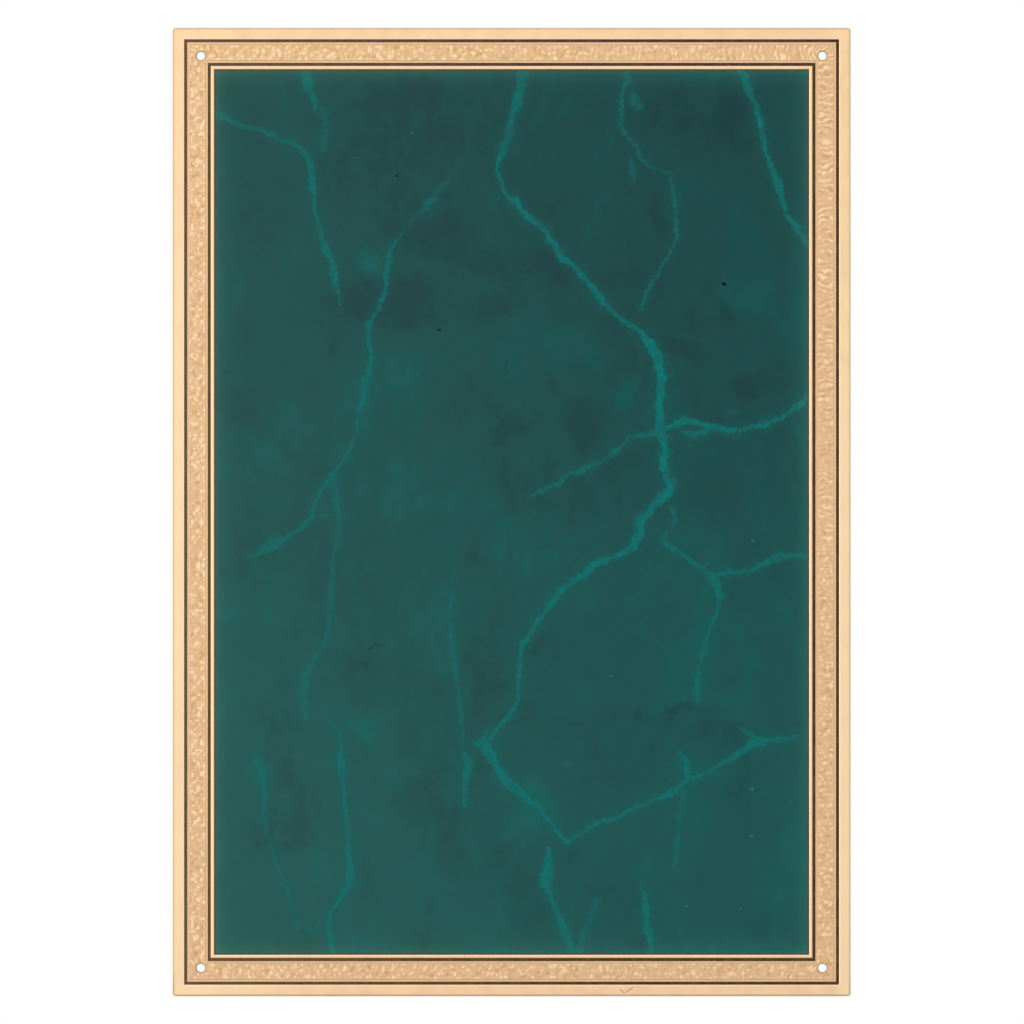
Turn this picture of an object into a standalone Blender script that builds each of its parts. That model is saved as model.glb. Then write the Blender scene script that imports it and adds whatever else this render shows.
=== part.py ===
"""Plaque plate: a thin gold sheet with a stepped border round a bare lacquered panel.

Metres, +Z up. The plate stands upright with its face towards -Y and its height along Z.
The origin is the centre of the back face, which lies flat on a wall or a backing board.
The sheet is one piece: rim, grooves, sunk band, bead, panel and the four fixing holes are
all worked into it.
"""

from math import pi

import bmesh
import bpy
from mathutils import Matrix, Vector

MM = 0.001

# The sheet
PLATE_WIDTH = 177.8 * MM
PLATE_HEIGHT = 254.0 * MM
SHEET_THICKNESS = 0.8 * MM
CORNER_RADIUS = 0.8 * MM
FRONT_EDGE_ROUND = 0.12 * MM
BACK_EDGE_ROUND = 0.06 * MM
CORNER_SEGMENTS = 6
EDGE_SEGMENTS = 3

# Widths across the border, from the plate's edge inwards
RIM_WIDTH = 3.08 * MM
GROOVE_FLOOR_WIDTH = 0.46 * MM
GROOVE_WALL_RUN = 0.10 * MM
LIP_WIDTH = 0.48 * MM
BAND_STEP_RUN = 0.10 * MM
BAND_FLOOR_WIDTH = 4.36 * MM
BEAD_WIDTH = 0.94 * MM
SEAM_WIDTH = 0.18 * MM

# Depths below the rim's face
GROOVE_DEPTH = 0.16 * MM
LIP_DEPTH = 0.02 * MM
BAND_DEPTH = 0.08 * MM
BEAD_CROWN = 0.10 * MM
BEAD_STEPS = 8
SEAM_DEPTH = 0.14 * MM
PANEL_DEPTH = 0.05 * MM

# The fixing holes, one in each corner of the sunk band
HOLE_DIAMETER = 2.20 * MM
HOLE_FROM_LIP = 3.16 * MM
HOLE_EDGE_BREAK = 0.24 * MM
HOLE_SEGMENTS = 32
CUTTER_OVERRUN = 0.5 * MM

BAND_LIP_START = RIM_WIDTH + GROOVE_FLOOR_WIDTH + 2 * GROOVE_WALL_RUN
HOLE_INSET = BAND_LIP_START + LIP_WIDTH + HOLE_FROM_LIP
FRONT_Y = -SHEET_THICKNESS
BAND_Y = FRONT_Y + BAND_DEPTH


def clear_scene():
    """Take every object out of the open scene."""
    for old in list(bpy.data.objects):
        bpy.data.objects.remove(old, do_unlink=True)


def new_collection(name):
    """Make a collection of this name and hang it in the scene."""
    collection = bpy.data.collections.new(name)
    bpy.context.scene.collection.children.link(collection)
    return collection


def gold_brass():
    """Satin gold sheet brass."""
    material = bpy.data.materials.new("gold_brass")
    material.use_nodes = True
    shader = material.node_tree.nodes["Principled BSDF"]
    shader.inputs["Base Color"].default_value = (0.90, 0.66, 0.40, 1.0)
    shader.inputs["Metallic"].default_value = 1.0
    shader.inputs["Roughness"].default_value = 0.35
    material.diffuse_color = (0.90, 0.66, 0.40, 1.0)
    return material


def bead_profile():
    """(width, depth) of each step across the bead's shallow round crown."""
    steps = []
    for step in range(1, BEAD_STEPS + 1):
        across = 2 * step / BEAD_STEPS - 1
        steps.append((BEAD_WIDTH / BEAD_STEPS, BEAD_CROWN * across * across))
    return steps


def border_profile():
    """(width, depth) of every step from the plate's edge to the panel.

    A width is measured inwards from the step before, and a depth from the rim's face.
    """
    groove = [
        (GROOVE_WALL_RUN, GROOVE_DEPTH),
        (GROOVE_FLOOR_WIDTH, GROOVE_DEPTH),
    ]
    band = [
        (GROOVE_WALL_RUN, LIP_DEPTH),
        (LIP_WIDTH, LIP_DEPTH),
        (BAND_STEP_RUN, BAND_DEPTH),
        (BAND_FLOOR_WIDTH, BAND_DEPTH),
        (BAND_STEP_RUN, LIP_DEPTH),
        (LIP_WIDTH, LIP_DEPTH),
    ]
    seam = [
        (SEAM_WIDTH / 2, SEAM_DEPTH),
        (SEAM_WIDTH / 2, PANEL_DEPTH),
    ]
    rise_to_bead = [(GROOVE_WALL_RUN, BEAD_CROWN)]
    return [(RIM_WIDTH, 0.0)] + groove + band + groove + rise_to_bead + bead_profile() + seam


def front_face(sheet):
    """The sheet's forward face, which the border is worked into."""
    return min(sheet.faces, key=lambda face: face.calc_center_median().y)


def work_border(sheet):
    """Step the front face inwards, ring by ring, along the border's profile."""
    panel = front_face(sheet)
    depth_now = 0.0
    for width, depth in border_profile():
        bmesh.ops.inset_region(
            sheet,
            faces=[panel],
            thickness=width,
            depth=depth_now - depth,
            use_even_offset=True,
        )
        depth_now = depth


def round_corners(sheet):
    """Round the four upright corners of the sheet's outline."""
    corners = [
        edge
        for edge in sheet.edges
        if abs(edge.verts[0].co.y - edge.verts[1].co.y) > 0.99 * SHEET_THICKNESS
    ]
    bmesh.ops.bevel(
        sheet,
        geom=corners,
        affect="EDGES",
        offset=CORNER_RADIUS,
        segments=CORNER_SEGMENTS,
        profile=0.5,
        material=-1,
    )


def round_outline(sheet, y, offset):
    """Break the outline's sharp edge on the face that lies at y."""
    outline = [
        edge
        for edge in sheet.edges
        if all(abs(vert.co.y - y) < 0.01 * MM for vert in edge.verts)
        and any(abs(face.normal.y) < 0.1 for face in edge.link_faces)
    ]
    bmesh.ops.bevel(
        sheet,
        geom=outline,
        affect="EDGES",
        offset=offset,
        segments=EDGE_SEGMENTS,
        profile=0.5,
        material=-1,
    )


def make_plate(collection, material):
    """The whole sheet, with its border and its rounded outline."""
    sheet = bmesh.new()
    size = Matrix.Diagonal((PLATE_WIDTH, SHEET_THICKNESS, PLATE_HEIGHT, 1.0))
    centre = Matrix.Translation((0.0, FRONT_Y / 2, 0.0))
    bmesh.ops.create_cube(sheet, size=1.0, matrix=centre @ size)
    work_border(sheet)
    round_corners(sheet)
    round_outline(sheet, FRONT_Y, FRONT_EDGE_ROUND)
    round_outline(sheet, 0.0, BACK_EDGE_ROUND)
    mesh = bpy.data.meshes.new("plaque_plate")
    sheet.to_mesh(mesh)
    sheet.free()
    mesh.materials.append(material)
    plate = bpy.data.objects.new("plaque_plate", mesh)
    collection.objects.link(plate)
    return plate


def make_cutter(collection, index, x, z):
    """A turned hole cutter: a straight shank that flares at the face it enters by."""
    radius = HOLE_DIAMETER / 2
    mouth_radius = radius + HOLE_EDGE_BREAK + CUTTER_OVERRUN
    mouth_y = BAND_Y - CUTTER_OVERRUN
    half_outline = [
        (0.0, mouth_y),
        (mouth_radius, mouth_y),
        (radius, BAND_Y + HOLE_EDGE_BREAK),
        (radius, CUTTER_OVERRUN),
        (0.0, CUTTER_OVERRUN),
    ]
    profile = bmesh.new()
    verts = [profile.verts.new((across, along, 0.0)) for across, along in half_outline]
    edges = [profile.edges.new(pair) for pair in zip(verts, verts[1:])]
    bmesh.ops.spin(
        profile,
        geom=verts + edges,
        cent=(0.0, 0.0, 0.0),
        axis=(0.0, 1.0, 0.0),
        angle=2 * pi,
        steps=HOLE_SEGMENTS,
        use_merge=True,
    )
    bmesh.ops.remove_doubles(profile, verts=profile.verts, dist=0.001 * MM)
    bmesh.ops.recalc_face_normals(profile, faces=profile.faces)
    mesh = bpy.data.meshes.new(f"hole_cutter_{index}")
    profile.to_mesh(mesh)
    profile.free()
    cutter = bpy.data.objects.new(f"hole_cutter_{index}", mesh)
    cutter.location = Vector((x, 0.0, z))
    cutter.hide_render = True
    cutter.display_type = "WIRE"
    collection.objects.link(cutter)
    return cutter


def drill_holes(plate, collection):
    """Drill the four corner holes through the sunk band."""
    half_span_x = PLATE_WIDTH / 2 - HOLE_INSET
    half_span_z = PLATE_HEIGHT / 2 - HOLE_INSET
    corners = [(side, level) for side in (-1, 1) for level in (-1, 1)]
    for index, (side, level) in enumerate(corners, start=1):
        cutter = make_cutter(collection, index, side * half_span_x, level * half_span_z)
        hole = plate.modifiers.new(f"hole_{index}", "BOOLEAN")
        hole.operation = "DIFFERENCE"
        hole.solver = "EXACT"
        hole.object = cutter


def main():
    clear_scene()
    plate = make_plate(new_collection("plaque"), gold_brass())
    drill_holes(plate, new_collection("cutters"))


main()
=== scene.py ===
"""Looks of the marble-effect plaque plate: stamped gold border and green lacquered panel.

The plate hangs upright with its face towards -Y. Its outline comes from the frame, and its
border is worked from the same widths and depths as the solid. Three pieces stand for the one
stamped sheet, so that each can carry its own finish at full sharpness: the sheet itself, the
hammered band and the marble panel.
"""

from __future__ import annotations

import logging
import math
from dataclasses import dataclass, field
from enum import Enum
import bmesh
import bpy
from mathutils import Matrix, Vector, noise


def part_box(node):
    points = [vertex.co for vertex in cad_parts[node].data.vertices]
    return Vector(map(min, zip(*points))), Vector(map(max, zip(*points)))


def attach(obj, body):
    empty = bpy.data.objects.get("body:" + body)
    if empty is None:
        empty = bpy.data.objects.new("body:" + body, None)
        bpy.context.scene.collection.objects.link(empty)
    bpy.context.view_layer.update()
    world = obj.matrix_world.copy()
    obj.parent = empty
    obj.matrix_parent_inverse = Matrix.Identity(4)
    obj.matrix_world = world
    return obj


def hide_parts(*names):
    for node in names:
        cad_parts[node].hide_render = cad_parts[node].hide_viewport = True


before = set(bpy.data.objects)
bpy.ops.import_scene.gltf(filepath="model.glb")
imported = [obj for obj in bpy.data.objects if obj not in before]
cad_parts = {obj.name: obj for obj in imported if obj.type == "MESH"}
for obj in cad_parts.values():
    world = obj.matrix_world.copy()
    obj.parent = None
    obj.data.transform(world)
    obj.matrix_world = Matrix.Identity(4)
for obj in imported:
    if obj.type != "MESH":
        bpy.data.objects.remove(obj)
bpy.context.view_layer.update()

LOG = logging.getLogger("plaque")
MM = 0.001
NODE = "plaque_plate"
BODY = "root"

Colour = tuple[float, float, float]
Span = tuple[float, float]
Socket = bpy.types.NodeSocket

# What a noise texture's value is taken to run between, from a strong contrast to a soft one.
NOISE_SPAN: Span = (0.3, 0.7)
WIDE_SPAN: Span = (0.25, 0.75)
FULL_SPAN: Span = (0.2, 0.8)
# Scale of the metal's patches, as a share of its grain's.
BROAD_GRAIN = 0.06
# Squared distances from a patch's middle, in reaches: where a cloud and where a speck starts to
# fade, and where both have faded out. The spread is a little more than the root of that.
CLOUD_CORE = 0.1
SPECK_CORE = 0.4
PATCH_END = 1.5
PATCH_SPREAD = 1.25
# Veins, in pixels: the half-width that a curve's 1 stands for, how far the smoke reaches out past
# the edge and in from it, how far outside an end has faded out, the least bow that a curve
# spans, and the step in which a route is followed.
VEIN_REACH = 26.0
VEIN_SMOKE = 11.0
SMOKE_INSET = 2.0
VEIN_FADED = 1.5 * VEIN_SMOKE
LEAST_BOW = 4
ROUTE_STEP = 8
# The least step across the sheet, and how near two points count as one, in metres.
LEAST_STEP = 0.01 * MM
WELD = 0.001 * MM


def held(value: float, low: float = 0.0, high: float = 1.0) -> float:
    """A value kept between two limits."""
    return min(max(value, low), high)


def portions(size: float, shares: Span) -> Span:
    """Two shares of a size."""
    return shares[0] * size, shares[1] * size


class Slot(Enum):
    """The record's material slots, each listed beside the pieces that stand for it."""

    GOLD = "gold_brass"
    MARBLE = "green_marble_lacquer"


class Surface(Enum):
    """What each ring of the border wears, as the sheet's material index."""

    GOLD = 0
    ENAMEL = 1
    BACK = 2
    # Gold darkened as painted shade, on the lips, the band's steps and seat, and the bead's flanks.
    SHADED_GOLD = 3


@dataclass(frozen=True)
class Ring:
    """One step across the border, from the plate's edge inwards.

    Attributes:
        width: How far the step runs inwards, in metres.
        depth: Where it ends below the rim's face, in metres.
        surface: The finish of the step.
    """

    width: float
    depth: float
    surface: Surface = Surface.GOLD


@dataclass(frozen=True)
class Border:
    """Widths and depths of the stamped border, the same as the solid's.

    Widths run inwards from the plate's edge and depths go down from the rim's face, in metres.
    The seat lies below the band and the panel, the shoulder is the rim's soft inner edge, and
    the enamel laps over the metal beside each groove.
    """

    rim_width: float = 3.08 * MM
    groove_floor_width: float = 0.46 * MM
    groove_wall_run: float = 0.10 * MM
    lip_width: float = 0.48 * MM
    band_step_run: float = 0.10 * MM
    band_floor_width: float = 4.36 * MM
    bead_width: float = 0.94 * MM
    seam_width: float = 0.18 * MM
    groove_depth: float = 0.16 * MM
    lip_depth: float = 0.02 * MM
    band_depth: float = 0.08 * MM
    bead_crown: float = 0.10 * MM
    bead_steps: int = 12
    bead_shaded_steps: int = 2
    seam_depth: float = 0.14 * MM
    panel_depth: float = 0.05 * MM
    seat_depth: float = 0.30 * MM
    seat_gap: float = 0.01 * MM
    band_edge_drop: float = 0.02 * MM
    shoulder_width: float = 0.26 * MM
    shoulder_drop: float = 0.05 * MM
    enamel_lap: float = 0.07 * MM
    hole_diameter: float = 2.20 * MM
    hole_from_lip: float = 3.16 * MM
    hole_edge_break: float = 0.24 * MM

    @property
    def groove_width(self) -> float:
        """Width of a groove's mouth."""
        return self.groove_floor_width + 2 * self.groove_wall_run

    @property
    def band_start(self) -> float:
        """Distance from the plate's edge to the band's floor."""
        return self.rim_width + self.groove_width + self.lip_width + self.band_step_run

    @property
    def band_end(self) -> float:
        """Distance from the plate's edge to the far side of the band's floor."""
        return self.band_start + self.band_floor_width

    @property
    def bead_start(self) -> float:
        """Distance from the plate's edge to the bead."""
        return self.band_end + self.band_step_run + self.lip_width + self.groove_width

    @property
    def panel_start(self) -> float:
        """Distance from the plate's edge to the panel."""
        return self.bead_start + self.bead_width + self.seam_width

    @property
    def band_edge_depth(self) -> float:
        """Depth of the hammered band where it meets a lip."""
        return self.lip_depth + self.band_edge_drop

    @property
    def foot_depth(self) -> float:
        """Depth of the band's and the panel's undersides, a gap above their seat."""
        return self.seat_depth - self.seat_gap

    @property
    def hole_inset(self) -> float:
        """Distance from each edge to a fixing hole's centre."""
        return self.rim_width + self.groove_width + self.lip_width + self.hole_from_lip

    def groove(self) -> list[Ring]:
        """The near wall and the floor of a filled groove."""
        return [
            Ring(self.groove_wall_run, self.groove_depth, Surface.ENAMEL),
            Ring(self.groove_floor_width, self.groove_depth, Surface.ENAMEL),
        ]

    def bead(self) -> list[Ring]:
        """The steps across the bead's shallow round crown, with painted shade on its flanks."""
        rings = []
        for step in range(1, self.bead_steps + 1):
            across = 2 * step / self.bead_steps - 1
            lit = self.bead_shaded_steps < step - 1 < self.bead_steps - self.bead_shaded_steps
            surface = Surface.GOLD if lit else Surface.SHADED_GOLD
            if step == 1:
                surface = Surface.ENAMEL
            rings.append(Ring(self.bead_width / self.bead_steps, self.bead_crown * across**2, surface))
        return rings

    def rings(self) -> list[Ring]:
        """Every step from the plate's edge to the panel's seat."""
        enamel = Surface.ENAMEL
        rim = [
            Ring(self.rim_width - self.shoulder_width - self.enamel_lap, 0.0),
            Ring(self.shoulder_width, self.shoulder_drop),
            Ring(self.enamel_lap, self.shoulder_drop, enamel),
        ]
        to_lip = [
            Ring(self.groove_wall_run, self.lip_depth, enamel),
            Ring(self.enamel_lap, self.lip_depth, enamel),
        ]
        lip = [Ring(self.lip_width - self.enamel_lap, self.lip_depth, Surface.SHADED_GOLD)]
        from_lip = [Ring(self.enamel_lap, self.lip_depth, enamel)]
        seat = [
            Ring(0.0, self.seat_depth, Surface.SHADED_GOLD),
            Ring(self.band_floor_width, self.seat_depth, Surface.SHADED_GOLD),
            Ring(0.0, self.band_edge_depth, Surface.SHADED_GOLD),
        ]
        rise_to_bead = [Ring(self.groove_wall_run, self.bead_crown, enamel)]
        seam = [
            Ring(self.seam_width / 2, self.seam_depth, enamel),
            Ring(self.seam_width / 2, self.seat_depth, enamel),
        ]
        outer = rim + self.groove() + to_lip + lip
        band = [Ring(self.band_step_run, self.band_edge_depth, Surface.SHADED_GOLD)] + seat
        rise_to_lip = [Ring(self.band_step_run, self.lip_depth, Surface.SHADED_GOLD)]
        inner = rise_to_lip + lip + from_lip + self.groove() + rise_to_bead
        return outer + band + inner + self.bead() + seam


@dataclass(frozen=True)
class Outline:
    """The plate's box at rest, read from the frame.

    Attributes:
        width: Size along X, in metres.
        height: Size along Z, in metres.
        thickness: Size along Y, in metres.
    """

    width: float
    height: float
    thickness: float

    @classmethod
    def from_frame(cls) -> Outline:
        """Measure the node that the pieces replace.

        Returns:
            The plate's outline.
        """
        low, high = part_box(NODE)
        return cls(high[0] - low[0], high[2] - low[2], high[1] - low[1])

    @property
    def front(self) -> float:
        """Y of the rim's face."""
        return -self.thickness

    def inset(self, point: Vector) -> float:
        """Distance of a point from the nearest side of the outline.

        Args:
            point: A place on the plate.

        Returns:
            The distance in metres, positive inside the outline.
        """
        return min(self.width / 2 - abs(point.x), self.height / 2 - abs(point.z))

    def half(self, inset: float = 0.0) -> Span:
        """Half the width and half the height, at a distance inside the outline.

        Args:
            inset: The distance, in metres.

        Returns:
            The two halves, in metres.
        """
        return self.width / 2 - inset, self.height / 2 - inset


class Board:
    """A shader node tree under construction, with short calls for the usual nodes."""

    def __init__(self, tree: bpy.types.NodeTree) -> None:
        """Start on a tree.

        Args:
            tree: The node tree that new nodes are added to.
        """
        self.tree = tree

    def add(self, kind: str, **settings: object) -> bpy.types.Node:
        """Add a node.

        Args:
            kind: The node's type, without its ShaderNode prefix.
            settings: Properties to set on it.

        Returns:
            The new node.
        """
        node = self.tree.nodes.new(f"ShaderNode{kind}")
        for name, value in settings.items():
            setattr(node, name, value)
        return node

    def feed(self, socket: Socket, value: object) -> None:
        """Link a socket to a socket, or set its plain value.

        Args:
            socket: The input to feed.
            value: Another node's output, a number or a colour.
        """
        if isinstance(value, bpy.types.NodeSocket):
            self.tree.links.new(value, socket)
        elif isinstance(value, tuple) and len(value) == 3 and socket.type == "RGBA":
            socket.default_value = (*value, 1.0)
        else:
            socket.default_value = value

    def math(self, operation: str, *values: object, clamp: bool = False) -> Socket:
        """Work out a number.

        Args:
            operation: The Math node's operation.
            values: Its inputs, in order.
            clamp: Whether the result stays between 0 and 1.

        Returns:
            The result's socket.
        """
        node = self.add("Math", operation=operation, use_clamp=clamp)
        for socket, value in zip(node.inputs, values):
            self.feed(socket, value)
        return node.outputs[0]

    def vector(self, operation: str, *values: object) -> bpy.types.NodeOutputs:
        """Work out a vector.

        Args:
            operation: The Vector Math node's operation.
            values: Its inputs, in order.

        Returns:
            Its outputs, Vector and Value.
        """
        node = self.add("VectorMath", operation=operation)
        for socket, value in zip(node.inputs, values):
            self.feed(socket, value)
        return node.outputs

    def remap(
        self, value: object, low: object, high: object, to_low: object = 0.0, to_high: object = 1.0
    ) -> Socket:
        """Map a range onto another with soft ends.

        Args:
            value: The number to map.
            low: Where the range starts.
            high: Where it ends.
            to_low: What low becomes.
            to_high: What high becomes.

        Returns:
            The mapped number's socket.
        """
        node = self.add("MapRange", interpolation_type="SMOOTHSTEP")
        for socket, part in zip(node.inputs, (value, low, high, to_low, to_high)):
            self.feed(socket, part)
        return node.outputs[0]

    def mix(self, factor: object, first: object, second: object, blend: str = "MIX") -> Socket:
        """Mix two colours.

        Args:
            factor: How much of the second colour shows.
            first: The colour below.
            second: The colour on top.
            blend: The Mix node's blend type.

        Returns:
            The mixed colour's socket.
        """
        node = self.add("Mix", data_type="RGBA", blend_type=blend)
        self.feed(node.inputs["Factor"], factor)
        self.feed(node.inputs[6], first)
        self.feed(node.inputs[7], second)
        return node.outputs[2]

    def noise(
        self, place: object, scale: object, detail: float = 2.0, roughness: float = 0.5,
        output: str = "Fac",
    ) -> Socket:
        """Add a noise texture.

        Args:
            place: The coordinates that it reads.
            scale: Noise cells to a metre.
            detail: Octaves of finer noise.
            roughness: How strong each finer octave is.
            output: Which output is wanted, Fac or Color.

        Returns:
            The noise's socket.
        """
        node = self.add("TexNoise")
        inputs = {"Vector": place, "Scale": scale, "Detail": detail, "Roughness": roughness}
        for name, value in inputs.items():
            self.feed(node.inputs[name], value)
        return node.outputs[output]

    def group(self, tree: bpy.types.NodeTree, **values: object) -> bpy.types.NodeOutputs:
        """Place a node group.

        Args:
            tree: The group.
            values: What feeds its inputs.

        Returns:
            The group's outputs.
        """
        node = self.add("Group", node_tree=tree)
        for name, value in values.items():
            self.feed(node.inputs[name], value)
        return node.outputs

    def object_place(self) -> Socket:
        """Object coordinates, which are the plate's own, in metres."""
        return self.add("TexCoord").outputs["Object"]

    def axes(self) -> bpy.types.NodeOutputs:
        """X, Y and Z of the Object coordinates."""
        parts = self.add("SeparateXYZ")
        self.feed(parts.inputs[0], self.object_place())
        return parts.outputs

    def insets(self, outline: Outline, start: float = 0.0) -> list[Socket]:
        """Distances inwards from the plate's upright sides and from its level ones.

        Args:
            outline: The plate's outline.
            start: How far inside the outline they are measured from, in metres.

        Returns:
            The two distances, in metres.
        """
        parts = self.axes()
        return [
            self.math("SUBTRACT", half, self.math("ABSOLUTE", parts[axis]))
            for axis, half in zip("XZ", outline.half(start))
        ]

    def dress(
        self, shader: bpy.types.Node, colour: Socket, rough: Socket, height: Socket, depth: float
    ) -> None:
        """Feed a shader's colour, its roughness and its fine bump.

        Args:
            shader: The Principled BSDF.
            colour: The base colour.
            rough: The roughness.
            height: The bump's height, from 0 to 1.
            depth: How deep the bump is, in metres.
        """
        bump = self.add("Bump")
        bump.inputs["Distance"].default_value = depth
        self.feed(bump.inputs["Height"], height)
        fed = {"Base Color": colour, "Roughness": rough, "Normal": bump.outputs[0]}
        for name, value in fed.items():
            self.feed(shader.inputs[name], value)


def new_material(name: str) -> tuple[bpy.types.Material, Board, bpy.types.Node]:
    """Start a material on a bare Principled BSDF.

    Args:
        name: The material's name.

    Returns:
        The material, a board on its tree and its shader node.
    """
    material = bpy.data.materials.new(name)
    material.use_nodes = True
    board = Board(material.node_tree)
    return material, board, material.node_tree.nodes["Principled BSDF"]


def new_group(
    name: str, places: tuple[str, ...], numbers: tuple[str, ...], results: tuple[str, ...]
) -> tuple[Board, bpy.types.NodeOutputs, bpy.types.NodeInputs]:
    """Start a shader node group.

    Args:
        name: The group's name.
        places: Names of its vector inputs.
        numbers: Names of its number inputs.
        results: Names of its number outputs.

    Returns:
        A board on its tree, what comes in, and what goes out.
    """
    tree = bpy.data.node_groups.new(name, "ShaderNodeTree")
    for place in places:
        tree.interface.new_socket(place, in_out="INPUT", socket_type="NodeSocketVector")
    for number in numbers:
        tree.interface.new_socket(number, in_out="INPUT", socket_type="NodeSocketFloat")
    for result in results:
        tree.interface.new_socket(result, in_out="OUTPUT", socket_type="NodeSocketFloat")
    source = tree.nodes.new("NodeGroupInput")
    sink = tree.nodes.new("NodeGroupOutput")
    return Board(tree), source.outputs, sink.inputs


def grain_group() -> bpy.types.NodeTree:
    """The satin grain that every bare metal surface shares.

    Returns:
        A group that takes Place and Scale, and gives Tint, Sheen and Height from 0 to 1.
    """
    results = ("Tint", "Sheen", "Height")
    board, given, wanted = new_group("satin_grain", ("Place",), ("Scale",), results)
    fine = board.noise(given["Place"], given["Scale"], detail=3.0, roughness=0.7)
    broad_scale = board.math("MULTIPLY", given["Scale"], BROAD_GRAIN)
    broad = board.noise(given["Place"], broad_scale)
    board.feed(wanted["Tint"], broad)
    board.feed(wanted["Sheen"], board.math("MULTIPLY", board.math("ADD", fine, broad), 0.5))
    board.feed(wanted["Height"], fine)
    return board.tree


@dataclass(frozen=True)
class LineEnamel:
    """The dark brown enamel in the grooves and the seam, thinner in places and lighter towards the
    left as painted light.

    Attributes:
        full: Colour where it lies thick.
        thin: Colour where it lies thinner and the gold warms it, also used for its painted light on
            the left.
        roughness: Least and greatest roughness.
        patch_scale: Thin patches to a metre.
        patch_span: Noise between which a patch thins.
        left_light_span: Shares of the plate's width between which painted light makes it lighter,
            right to left.
        left_light_and_patches: How strongly painted light lightens it on the left, and how thin its
            patches are.
    """

    full: Colour = (0.058, 0.029, 0.015)
    thin: Colour = (0.135, 0.078, 0.044)
    roughness: Span = (0.35, 0.55)
    patch_scale: float = 600.0
    patch_span: Span = (0.35, 0.75)
    left_light_span: Span = (0.2, -0.52)
    left_light_and_patches: Span = (0.75, 0.6)

    def material(self, outline: Outline) -> bpy.types.Material:
        """Build the finish, lighter towards the left side as painted light, and thinner in patches.

        Args:
            outline: The plate's outline.

        Returns:
            The material.
        """
        material, board, shader = new_material("line_enamel")
        patch = board.noise(board.object_place(), self.patch_scale, detail=3.0)
        left_light_span = portions(outline.width, self.left_light_span)
        # Painted light: the enamel turns lighter towards the left side.
        worn = board.remap(board.axes()["X"], *left_light_span, 0.0, self.left_light_and_patches[0])
        patchy = board.remap(patch, *self.patch_span, 0.0, self.left_light_and_patches[1])
        worn = board.math("ADD", worn, patchy, clamp=True)
        board.feed(shader.inputs["Base Color"], board.mix(worn, self.full, self.thin))
        board.feed(shader.inputs["Roughness"], board.remap(patch, *NOISE_SPAN, *self.roughness))
        shader.inputs["Specular IOR Level"].default_value = 0.15
        return material


@dataclass(frozen=True)
class Vein:
    """One vein of the marble effect, read off the photograph.

    Attributes:
        name: What it is called here.
        strength: How bright its core is, from 0 to 1.
        route: Points along it, as (right, down, width) in pixels of the photograph. A width of
            0 is where it has faded out.
        halo: How bright the smoke round it is, from 0 to 1.
        blur: How far its edges fade, in pixels.
    """

    name: str
    strength: float
    route: tuple[tuple[float, float, float], ...]
    halo: float = 0.35
    blur: float = 1.8


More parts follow.
